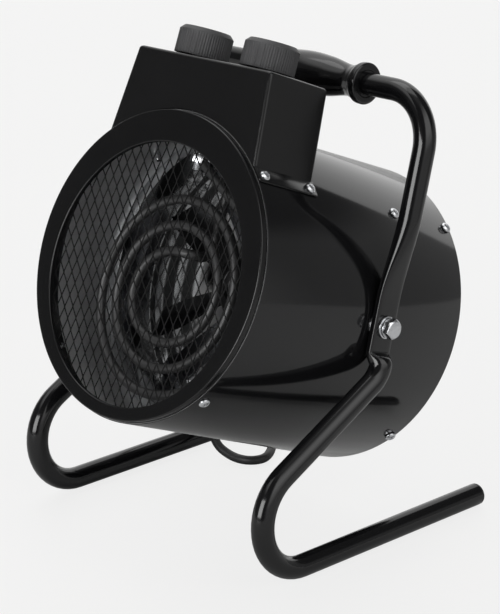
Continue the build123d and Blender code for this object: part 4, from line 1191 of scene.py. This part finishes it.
# ---------------------------------------------------------------- heating element
LEG_X = -4.0                # the front leg of the element's tube
LEG_TOP = 104.0             # where both legs end in the bracket
LEG_CORNER = 79.5           # where the front leg turns towards the spiral
BACK_BEND = 10.0            # bend radius where the tube turns back and up


def arc(centre, wide, high, start, end, steps):
    """Points on an oval arc in the (x, h) plane, without its first point."""
    made = []
    for k in range(1, steps + 1):
        a = math.radians(start + (end - start) * k / steps)
        made.append((centre[0] + wide * math.cos(a), centre[1] + high * math.sin(a)))
    return made


def element_path(element):
    """Down from the bracket, round a flat spiral inwards, then back and up behind it."""
    outer = element.outer
    leave = math.radians(40)
    start = Vector((outer * math.cos(leave), outer * math.sin(leave) - element.drop))
    turn = start + Vector((-8 * math.sin(leave), 8 * math.cos(leave)))
    flat = rounded([(LEG_X, LEG_TOP), (LEG_X, LEG_CORNER), turn, start], [0, 6, 30, 0], 8)
    flat += arc((0, -element.drop), outer, outer, 40, -90, 30)
    h = -element.drop - outer
    for number in range(int(element.half_turns)):
        high = outer - element.step * (number + 1)
        wide = high + element.oval * (number - 1)
        if number % 2 == 0:
            flat += arc((0, h + high), wide, high, -90, -270, 40)
            h += 2 * high
        else:
            flat += arc((0, h - high), wide, high, 90, -90, 40)
            h -= 2 * high
    path = [Vector((x, -element.plane, z)) for x, z in flat]
    quarter = [math.pi / 2 * k / 8 for k in range(1, 9)]
    steps = [(BACK_BEND * math.sin(a), BACK_BEND * (1 - math.cos(a))) for a in quarter]
    path += [Vector((out, back - element.plane, h)) for out, back in steps]
    path += [Vector((BACK_BEND, BACK_BEND - element.plane + back, h + up)) for back, up in steps]
    path.append(Vector((BACK_BEND, 2 * BACK_BEND - element.plane, LEG_TOP)))
    return path


def bushing_form(element):
    """Hexagon shoulder and crimped collar below each nut, one round each end of the tube."""
    form = Form()
    flats, bore, ridge, groove, pitch = 13.0, 3.55, 5.3, 4.8, 0.8
    low, shoulder, nut = 71.5, 77.0, 82.8
    for x, s in ((LEG_X, element.plane), (BACK_BEND, element.plane - 2 * BACK_BEND)):
        place = moved(x, s)
        form.prism(hexagon(flats), shoulder, nut, place)
        collar = [(bore, low)]
        for k in range(7):
            collar += [(ridge, low + pitch * k), (groove, low + pitch / 2 + pitch * k)]
        collar += [(ridge, shoulder), (bore, shoulder)]
        form.turn(collar, 32, place, loop=True)
    return form


class HEATER_OT_element(Operator):
    """Wind the heating tube and dress its bracket, nuts, insulators and studs"""
    bl_idname = "heater.element"
    bl_label = "Heating element"

    def execute(self, context):
        element = sizes("heater_element")
        form = swept(element_path(element), circle(element.radius, 16))
        make("Heating_tube", form, "drum", "heating_tube", ("heating_element",),
             crease=50)
        make("Element_bushings", bushing_form(element), "drum", "zinc_plate", crease=30,
             edge=0.25)
        dressed("element_bracket", "bracket_steel", 0.3)
        dressed("element_nuts", "zinc_plate", 0.5)
        dressed("element_insulators", "ceramic", 0.6)
        dressed("element_studs", "zinc_plate", 0.3)
        return {"FINISHED"}


# ---------------------------------------------------------------- air parts
def fan_form(air):
    """Pressed hub with a dished face, and cambered paddles with rounded tips."""
    form = Form()
    low, high = air.fan_plane - air.hub_length / 2, air.fan_plane + air.hub_length / 2
    hub = rounded([(4.1, low), (air.hub_radius, low), (air.hub_radius, high), (13, high),
                   (10, high - 3), (7, high - 3), (6.4, high), (4.1, high)],
                  [0, 1, 2.5, 1, 1, 0.6, 0.6, 0], 4)
    form.turn(hub, 64, ALONG_S, loop=True)
    blade = Form()
    rows = []
    inner, root, widest = 12.0, 9.0, 15.0
    sheet = 1.2
    steps_out, steps_across = 14, 10
    for i in range(steps_out + 1):
        t = i / steps_out
        row = []
        for j in range(steps_across + 1):
            v = 2 * j / steps_across - 1
            reach = inner + (air.fan_radius - 0.6 - inner) * t
            half = root + (widest - root) * smooth_step(20, 68, reach)
            half *= 1 - 0.16 * smooth_step(0.9, 1.0, t)
            w = v * half
            tip = math.sqrt(air.fan_radius ** 2 - (w * math.cos(air.pitch)) ** 2) - air.fan_radius
            out = reach + tip * t
            row.append((w, 2.6 * (1 - v * v) * smooth_step(18, 50, reach), out))
        rows.append(row)
    blade.loft(rows, closed=False)
    bmesh.ops.recalc_face_normals(blade.mesh, faces=blade.mesh.faces)
    for face in blade.mesh.faces:
        face.normal_update()
    top = {v: blade.mesh.verts.new(v.co + Vector((0, sheet, 0))) for v in list(blade.mesh.verts)}
    edges = [e for e in blade.mesh.edges if len(e.link_faces) == 1]
    for face in list(blade.mesh.faces):
        blade.mesh.faces.new([top[v] for v in reversed(face.verts)])
    for edge in edges:
        a, b = edge.verts
        blade.mesh.faces.new((a, b, top[b], top[a]))
    pitch = moved(s=air.fan_plane) @ Matrix.Rotation(air.pitch, 4, "Z")
    for number in range(int(air.blades)):
        turn = Matrix.Rotation(2 * math.pi * number / air.blades, 4, "Y")
        form.add(blade, turn @ pitch)
    blade.mesh.free()
    return form


class HEATER_OT_air(Operator):
    """Dress the duct, fan and motor"""
    bl_idname = "heater.air"
    bl_label = "Duct, fan and motor"

    def execute(self, context):
        air = sizes("heater_air")
        dressed("fan_duct", "galvanised", 0.2)
        make("Fan", fan_form(air), "fan", "fan_aluminium", ("fan_rotor",),
             crease=40)
        dressed("motor_shaft", "shaft_steel", 0.4)
        dressed("motor_bracket", "bracket_steel", 0.4)
        dressed("motor_front_bell", "cast_aluminium", 1.2, segments=3)
        dressed("motor_stator", "laminations", 0.4)
        dressed("motor_rear_bell", "cast_aluminium")
        return {"FINISHED"}


class HEATER_OT_grille(Operator):
    """Dress the slotted rear grille"""
    bl_idname = "heater.grille"
    bl_label = "Rear grille"

    def execute(self, context):
        dressed("rear_grille", "grille_paint", 0.3)
        return {"FINISHED"}


# ---------------------------------------------------------------- control box
CASING_ROOM = 0.3           # drum casing to the box's sheet
KNOB_HOLE = 5.0             # radius of the hole under a knob


def box_half(box, h):
    """Half the box's width at a height above the drum's axis."""
    return box.top_half + (box.top - h) * (box.foot_half - box.top_half) / (box.top - box.foot)


def box_form(box, drum):
    """Folded cover as a skin: front, sides and rear, with an open seam at each front corner."""
    r = box.edge
    outer = drum.radius + CASING_ROOM
    front, rear = drum.front, box.rear
    quarter = [math.radians(9 * k) for k in range(11)]
    # Each column is (share of the half width, inset from the side or None on a flat face, s).
    shares = [k / 12 for k in range(12)]
    half_ring = [(share, None, front) for share in shares]
    seam_at = 5
    diagonal = math.sqrt(0.5)
    seam_depth = 1.1
    wide, deep = box.seam / 2 * diagonal, seam_depth * diagonal
    for k, a in enumerate(quarter):
        inset, s = r - r * math.sin(a), front - r + r * math.cos(a)
        if k == seam_at:
            half_ring += [(1.0, inset + wide, s + wide),
                          (1.0, inset + wide + deep, s + wide - deep),
                          (1.0, inset - wide + deep, s - wide - deep),
                          (1.0, inset - wide, s - wide)]
        elif abs(k - seam_at) > 1:
            half_ring.append((1.0, inset, s))
    half_ring += [(1.0, 0.0, front - r - (front - rear - 2 * r) * k / 8) for k in range(1, 8)]
    half_ring += [(1.0, r - r * math.cos(a), rear + r - r * math.sin(a)) for a in quarter]
    half_ring += [(share, None, rear) for share in reversed(shares)]
    rows, top_rows = 10, 5

    def column_point(column, side, t):
        """A column's point on row t: the last rows round off into the top."""
        share, inset, s = column

        def spread(h):
            half = box_half(box, h)
            return (half - r) * share if inset is None else half - inset
        low = box.foot
        # The side leans, so where it meets the casing is found by repeating.
        for _ in range(24):
            x = spread(low)
            casing_top = math.sqrt(outer * outer - x * x) if x < outer else 0.0
            low = max(box.foot, casing_top)
        if t <= rows:
            h = low + (box.top - r - low) * t / rows
            return Vector((side * spread(h), -s, h))
        a = math.pi / 2 * (t - rows) / top_rows
        h = box.top - r + r * math.sin(a)
        drawn = r * (1 - math.cos(a))
        x = spread(h)
        centre_s = (front + rear) / 2
        x_in = max(0.0, x - drawn * min(1.0, x / 20)) if x > 0 else 0.0
        s_in = s + (-drawn if s > centre_s else drawn) * min(1.0, abs(s - centre_s) / 12)
        return Vector((side * x_in, -s_in, h))

    form = Form()
    ring = [(c, 1) for c in half_ring] + [(c, -1) for c in reversed(half_ring) if c[0] > 0]
    rings = form.loft([[column_point(c, side, t) for c, side in ring]
                       for t in range(rows + top_rows + 1)])
    form.mesh.faces.new(rings[-1])
    return form


def flange_form(box, drum):
    """Foot strips with rounded corners, bent outwards along the casing."""
    form = Form()
    outer = drum.radius + CASING_ROOM + box.sheet
    for degrees, low, high, radii in ((45, -7.2, 5.5, [0, 2.2, 2.2, 0]),
                                      (135, -5.5, 7.2, [2.2, 0, 0, 2.2])):
        outline = [(low, -drum.front), (high, -drum.front), (high, -box.rear), (low, -box.rear)]
        form.prism(rounded(outline, radii, 5, loop=True), outer - box.sheet, outer,
                   Matrix.Rotation(math.radians(90 - degrees), 4, "Y"))
    return form


class HEATER_OT_box(Operator):
    """Fold the control box with its foot flanges, and dress the controls inside it"""
    bl_idname = "heater.control_box"
    bl_label = "Control box"

    def execute(self, context):
        box, drum = sizes("heater_box"), sizes("heater_drum")
        crease = 32
        cover = make("Control_box", box_form(box, drum), "drum", "box_paint",
                     ("control_box",), crease=crease, wall=box.sheet)
        holes = Form()
        for side in (-1, 1):
            holes.prism(circle(KNOB_HOLE, 32), box.top - 4, box.top + 4,
                        moved(side * KNOB_MIDDLE, KNOB_ALONG))
        cut(cover, holes, IN_DRUM)
        smooth(cover.data, crease)
        make("Box_flanges", flange_form(box, drum), "drum", "box_paint",
             crease=crease, edge=0.25)
        dressed("selector_switch", "white_plastic", 0.6)
        dressed("thermostat", "brown_plastic", 0.6)
        dressed("terminal_block", "white_plastic", 0.4)
        dressed("thermal_cutout", "brown_plastic", 0.6)
        return {"FINISHED"}


# ---------------------------------------------------------------- knobs
def knob_form(knob):
    """Hollow knob: fine uneven ribs round the side under a smooth chamfered top."""
    top = knob.base + knob.height
    body = rounded([(knob.radius - 0.5, knob.base), (knob.radius, knob.base),
                    (knob.radius, top - knob.chamfer), (knob.radius - knob.chamfer, top),
                    (0.0, top)], [0, 0.3, 0.6, 0.8, 0], 4)
    profile = []
    for (r0, h0), (r1, h1) in zip(body, body[1:]):
        cuts = 6 if abs(h0 - h1) > 10 else 1
        profile += [(r0 + (r1 - r0) * k / cuts, h0 + (h1 - h0) * k / cuts) for k in range(cuts)]
    profile.append((0.0, top))
    ribs = int(knob.ribs)

    def ribbed(radius, along, a):
        if radius < knob.radius - 1.6:
            return radius
        fade = 1 - smooth_step(top - knob.chamfer - 1.2, top - knob.chamfer + 0.3, along)
        turn = a * ribs / (2 * math.pi)
        uneven = 0.75 + 0.25 * math.sin(math.floor(turn) * 2.4)
        dip = (0.5 - 0.5 * math.cos(2 * math.pi * turn)) ** 0.7
        return radius - knob.rib_depth * dip * uneven * fade

    form = Form()
    inner = knob.radius - knob.wall
    bore, boss, rim = 3.05, 6.6, knob.base + 0.2
    hollow = [(0.0, top - 2.2), (bore, top - 2.2), (bore, top - 3.2), (bore, rim), (boss, rim),
              (boss, top - 5.2), (inner, top - 5.2), (inner, rim)]
    form.turn(hollow + profile, ribs * 6, shape=ribbed)
    return form


class HEATER_OT_knobs(Operator):
    """Mould the two ribbed knobs and dress their spindles"""
    bl_idname = "heater.knobs"
    bl_label = "Knobs"

    def execute(self, context):
        knob = sizes("heater_knob")
        for side, control in ((-1, "thermostat"), (1, "selector")):
            make(control.title() + "_dial_knob", knob_form(knob), control + "_dial",
                 "knob_plastic", (control + "_knob",),
                 IN_DRUM @ moved(side * knob.middle, knob.along), crease=55)
            dressed(control + "_spindle", "shaft_steel", 0.3)
        return {"FINISHED"}


# ---------------------------------------------------------------- stand
def natural_curve(knots, x):
    """Smooth curve through (position, value) knots, each sloped by its two neighbours."""
    for k in range(len(knots) - 1):
        (x0, y0), (x1, y1) = knots[k], knots[k + 1]
        if x <= x1 or k == len(knots) - 2:
            before = knots[k - 1] if k else (x0 - (x1 - x0), y0)
            after = knots[k + 2] if k + 2 < len(knots) else (x1 + (x1 - x0), y1)
            span = x1 - x0
            m0 = (y1 - before[1]) / (x1 - before[0]) * span
            m1 = (after[1] - y0) / (after[0] - x0) * span
            t = min(1.0, max(0.0, (x - x0) / span))
            return ((2 * t ** 3 - 3 * t ** 2 + 1) * y0 + (t ** 3 - 2 * t ** 2 + t) * m0
                    + (3 * t ** 2 - 2 * t ** 3) * y1 + (t ** 3 - t ** 2) * m1)


# Reach along a leg from the pivot axis, in millimetres: where the flattening is full and where
# it has run out, above the pivot and below it.
FULL_ABOVE, ROUND_ABOVE = 17, 80
FULL_BELOW, ROUND_BELOW = -18.5, -27


def upwards(stand):
    """Direction of the upper legs."""
    return Vector((0, math.sin(stand.lean), math.cos(stand.lean)))


def stand_centreline(stand):
    """Half of the bent tube from the handle's middle to a heel, with the flattened share."""
    lean = upwards(stand)
    pivot = PIVOT * MM
    flat_x = stand.leg - stand.tube + stand.flat_thickness / 2
    top = pivot + lean * stand.handle
    knee = pivot - lean * stand.knee
    drop = (knee.z - stand.tube) / math.sin(stand.shin)
    toe = Vector((0, knee.y - drop * math.cos(stand.shin), stand.tube))
    heel = Vector((0, pivot.y + stand.heel, stand.tube))

    def at(place, x=stand.leg):
        return Vector((x, place.y, place.z))

    path = [at(top, x) for x in (0, 30, 60)]
    path += bend(at(top, 0), at(top), at(knee), stand.corner, 24)
    low = len(path)
    # Stations down the leg, closer where it flattens.
    coarse, fine, flat_starts = 3.0, 1.5, 45
    reach = stand.handle - stand.corner - 4
    while reach > -stand.knee + 9.5:
        path.append(at(pivot + lean * reach))
        reach -= coarse if reach > flat_starts else fine
    path += bend(at(top), at(knee), at(toe), stand.knee_bend, 14)
    path += bend(at(knee), at(toe), at(heel), stand.toe_bend, 22)
    path += [at(toe.lerp(heel, t)) for t in (0.5, 0.75)] + [at(heel)]
    flat = []
    for k, place in enumerate(path):
        reach = (place - pivot).dot(lean)
        share = 0.0
        if low <= k and reach > -stand.knee + 6 and abs(place.x - stand.leg) < 0.01:
            share = 1 - smooth_step(FULL_ABOVE, ROUND_ABOVE, reach)
            share *= smooth_step(ROUND_BELOW, FULL_BELOW, reach)
        flat.append(share)
        place.x -= (stand.leg - flat_x) * share
    return path, flat


def tube_outline(stand, share, inset=0.0):
    """Round tube or, by its share, the flattened one, as (front-back, sideways) points."""
    power = 2 / 5.5

    def blended(part, flat_half):
        """One coordinate: from the circle's to that of a rectangle with soft corners."""
        soft = math.copysign(abs(part) ** power, part) * (flat_half - inset)
        plain = part * (stand.tube - inset)
        return plain + (soft - plain) * share

    return [(blended(c, stand.flat_width / 2), blended(s, stand.flat_thickness / 2))
            for c, s in circle(1, 48)]


def stand_form(stand):
    """The whole tube, heel to heel, as a wall with an outside and a bore."""
    path, flat = stand_centreline(stand)
    crossing = Vector((0, -math.cos(stand.lean), math.sin(stand.lean)))
    form = Form()
    right = []
    for k, place in enumerate(path):
        ahead = (path[min(k + 1, len(path) - 1)] - path[max(k - 1, 0)]).normalized()
        if place.x < stand.leg - 7 or ahead.x > 0.02:
            u, v = crossing, ahead.cross(crossing)
        else:
            v = Vector((-1, 0, 0))
            u = v.cross(Vector((0, ahead.y, ahead.z)).normalized())
        right.append((place, u, v, flat[k]))

    def skin(inset):
        rings = []
        for mirror, stations in ((-1, right[:0:-1]), (1, right)):
            for place, u, v, share in stations:
                ring = [place + u * a + v * b for a, b in tube_outline(stand, share, inset)]
                rings.append([Vector((p.x * mirror, p.y, p.z)) for p in ring])
        return [form.ring(ring) for ring in rings]

    outside, bore = skin(0.0), skin(stand.wall)
    for made in (outside, bore):
        for a, b in zip(made, made[1:]):
            form.join(a, b)
    for end in (0, -1):
        form.join(outside[end], bore[end])
    return form


def grip_profile(stand):
    """Half of the grip's outline from its middle to the bore at one end, as (radius, x)."""
    rim_x = stand.grip_half - 5.0
    shoulder_x = rim_x - 2.5
    shoulder = (stand.grip_flare + stand.grip_neck) / 2
    quarter = stand.grip_belly - (stand.grip_belly - stand.grip_neck) * 0.3
    knots = [(-20, quarter), (0, stand.grip_belly), (20, quarter), (40, stand.grip_neck),
             (shoulder_x, shoulder)]
    profile = [(natural_curve(knots, shoulder_x * k / 32), shoulder_x * k / 32) for k in range(33)]
    bore = 8.06
    collar = rounded([(shoulder, shoulder_x), (stand.grip_flare - 0.1, rim_x),
                      (stand.grip_flare, rim_x + 2.6), (stand.grip_flare, stand.grip_half),
                      (10.2, stand.grip_half), (9.4, stand.grip_half - 0.8),
                      (bore, stand.grip_half - 0.8)], [0, 1.4, 0, 1.5, 0.5, 0.4, 0], 5)
    return profile + collar[1:]


def cap_form():
    """Plug that closes an end of the tube, its disc on the tube's rim."""
    form = Form()
    form.turn(rounded([(0, -12), (6.7, -12), (6.7, 0), (7.9, 0), (7.9, 2.0), (0, 2.0)],
                      [0, 0.6, 0, 0.3, 1.2, 0], 5), 40)
    return form


class HEATER_OT_stand(Operator):
    """Bend the stand's tube and dress it with its grip and end caps"""
    bl_idname = "heater.stand"
    bl_label = "Stand and grip"

    def execute(self, context):
        stand = sizes("heater_stand")
        make("Stand_tube", stand_form(stand), "stand", "tube_paint",
             ("stand_tube",), SMALL, crease=60)
        top = PIVOT * MM + upwards(stand) * stand.handle
        half = grip_profile(stand)
        whole = [(r, -x) for r, x in reversed(half)] + half[1:]
        form = Form()
        form.turn(whole, 96, loop=True)
        make("Handle_grip", form, "stand", "grip_plastic", ("handle_grip",),
             SMALL @ Matrix.Translation(top) @ ALONG_X, crease=40)
        caps = Form()
        backwards = Matrix.Rotation(math.radians(-90), 4, "X")
        for side in (-1, 1):
            heel = Vector((side * stand.leg, PIVOT.y * MM + stand.heel + 0.15, stand.tube))
            caps.add(cap_form(), Matrix.Translation(heel) @ backwards)
        make("End_caps", caps, "stand", "rubber", ("foot_caps",), SMALL, crease=45)
        return {"FINISHED"}


# ---------------------------------------------------------------- screws and pivots
def screw_template():
    """Pan-head screw with a cross recess, its head seated at the origin, local Z outwards."""
    form = Form()
    form.turn(rounded([(0, -9), (1.6, -9), (2.0, -8.2), (2.0, 0), (4.0, 0), (3.95, 1.2),
                       (2.6, 2.45), (0, 2.6)], [0, 0, 0.2, 0, 0.25, 0.7, 1.6, 0], 4), 32)
    screw = new_object("screw", form.finished("screw"))
    for turn in (0, 90):
        cross = Form()
        spin = Matrix.Rotation(math.radians(turn), 4, "Z")
        cross.loft([[spin @ Vector((x, y, z)) for x, y in ((-a, -b), (a, -b), (a, b), (-a, b))]
                    for a, b, z in ((1.1, 0.2, 1.2), (2.3, 0.5, 2.8))], ends=True)
        cut(screw, cross, Matrix())
    smooth(screw.data, 35)
    return screw


def screw_tree():
    """A screw on every seat, turned to the seat's outward direction and spun at random."""
    n, given = node_group("Screws on seats", (
        ("Geometry", "NodeSocketGeometry", None), ("Screw", "NodeSocketObject", None),
        ("Seed", "NodeSocketInt", 3), ("Finish", "NodeSocketMaterial", None)))
    outward = n.add("GeometryNodeInputNamedAttribute", {"data_type": "FLOAT_VECTOR"},
                    {"Name": "outward"}, "Attribute")
    spin = n.add("FunctionNodeRandomValue", {"data_type": "FLOAT"},
                 {2: 0.0, 3: 1.57, "Seed": given["Seed"]}, 1)
    about = n.add("ShaderNodeCombineXYZ", {}, {"Z": spin})
    first = n.add("FunctionNodeAlignEulerToVector", {"axis": "Z"}, {"Vector": outward}, "Rotation")
    turned = n.add("FunctionNodeRotateEuler", {"rotation_type": "EULER", "space": "LOCAL"},
                   {"Rotation": first, "Rotate By": about}, "Rotation")
    return scatter(n, given["Geometry"], given["Screw"], turned, given["Finish"])


class HEATER_OT_fasteners(Operator):
    """Drive the screws and dress the pivot bolts, washers and nuts"""
    bl_idname = "heater.fasteners"
    bl_label = "Screws and pivots"

    def execute(self, context):
        upper, lower = (45, 135), (-45, 225)
        on_flange, on_casing, front = 111.3, 110.15, 115.5
        rows = {
            "box_screws": [(a, s, on_flange) for a in upper for s in (front, 69.5)],
            "bezel_screws": [(a, front, on_casing) for a in lower],
            "bracket_screws": [(a, -22.0, on_casing) for a in upper + lower],
            "rear_screws": [(a, -81.0, on_casing) for a in upper + lower],
        }
        screw, tree = screw_template(), screw_tree()
        for seed, (node, seats) in enumerate(rows.items()):
            mesh = bpy.data.meshes.new(node + "_seats")
            places = [radial(*seat) for seat in seats]
            mesh.from_pydata([m.to_translation() for m in places], [], [])
            outward = mesh.attributes.new("outward", "FLOAT_VECTOR", "POINT")
            for item, m in zip(outward.data, places):
                item.vector = m.to_3x3() @ Vector((0, 0, 1))
            piece = new_object(node.title(), mesh)
            grown(tree, piece, {"Screw": screw, "Seed": seed + 3, "Finish": finish("zinc_plate")})
            piece.data.transform(IN_DRUM)
            smooth(piece.data, 35)
            hand_over(piece, "drum", "zinc_plate", (node,))
        bpy.data.objects.remove(screw)
        for node, edge in (("pivot_bolts", 0.35), ("pivot_washers", 0.3), ("spring_washers", 0.3),
                           ("pivot_spacers", 0.15), ("pivot_nuts", 0.5)):
            dressed(node, "zinc_plate", edge)
        return {"FINISHED"}


# ---------------------------------------------------------------- the add-on
OPERATORS = (
    HEATER_OT_stage, HEATER_OT_cord, HEATER_OT_drum, HEATER_OT_front, HEATER_OT_element,
    HEATER_OT_air, HEATER_OT_grille, HEATER_OT_box, HEATER_OT_knobs, HEATER_OT_stand,
    HEATER_OT_fasteners,
)


class HEATER_PT_making(Panel):
    """Sizes, colours and making steps of the heater"""
    bl_idname = "HEATER_PT_making"
    bl_label = "Drum fan heater"
    bl_space_type = "VIEW_3D"
    bl_region_type = "UI"
    bl_category = "Heater"

    def draw(self, context):
        for step in OPERATORS:
            self.layout.operator(step.bl_idname)
        for group in GROUPS:
            box = self.layout.box()
            box.label(text=group.replace("heater_", "").title())
            held = getattr(context.scene, group)
            for item in held.bl_rna.properties:
                if item.identifier not in ("rna_type", "name"):
                    box.prop(held, item.identifier)


def register():
    """Add the operators, the panel and the settings."""
    for made in (*GROUPS.values(), *OPERATORS, HEATER_PT_making):
        bpy.utils.register_class(made)
    for name, group in GROUPS.items():
        setattr(bpy.types.Scene, name, PointerProperty(type=group))


def unregister():
    """Take them away again."""
    for name in GROUPS:
        delattr(bpy.types.Scene, name)
    for made in reversed((*GROUPS.values(), *OPERATORS, HEATER_PT_making)):
        bpy.utils.unregister_class(made)


def main():
    register()
    for step in OPERATORS:
        section, name = step.bl_idname.split(".")
        getattr(getattr(bpy.ops, section), name)()


if __name__ == "__main__":
    main()
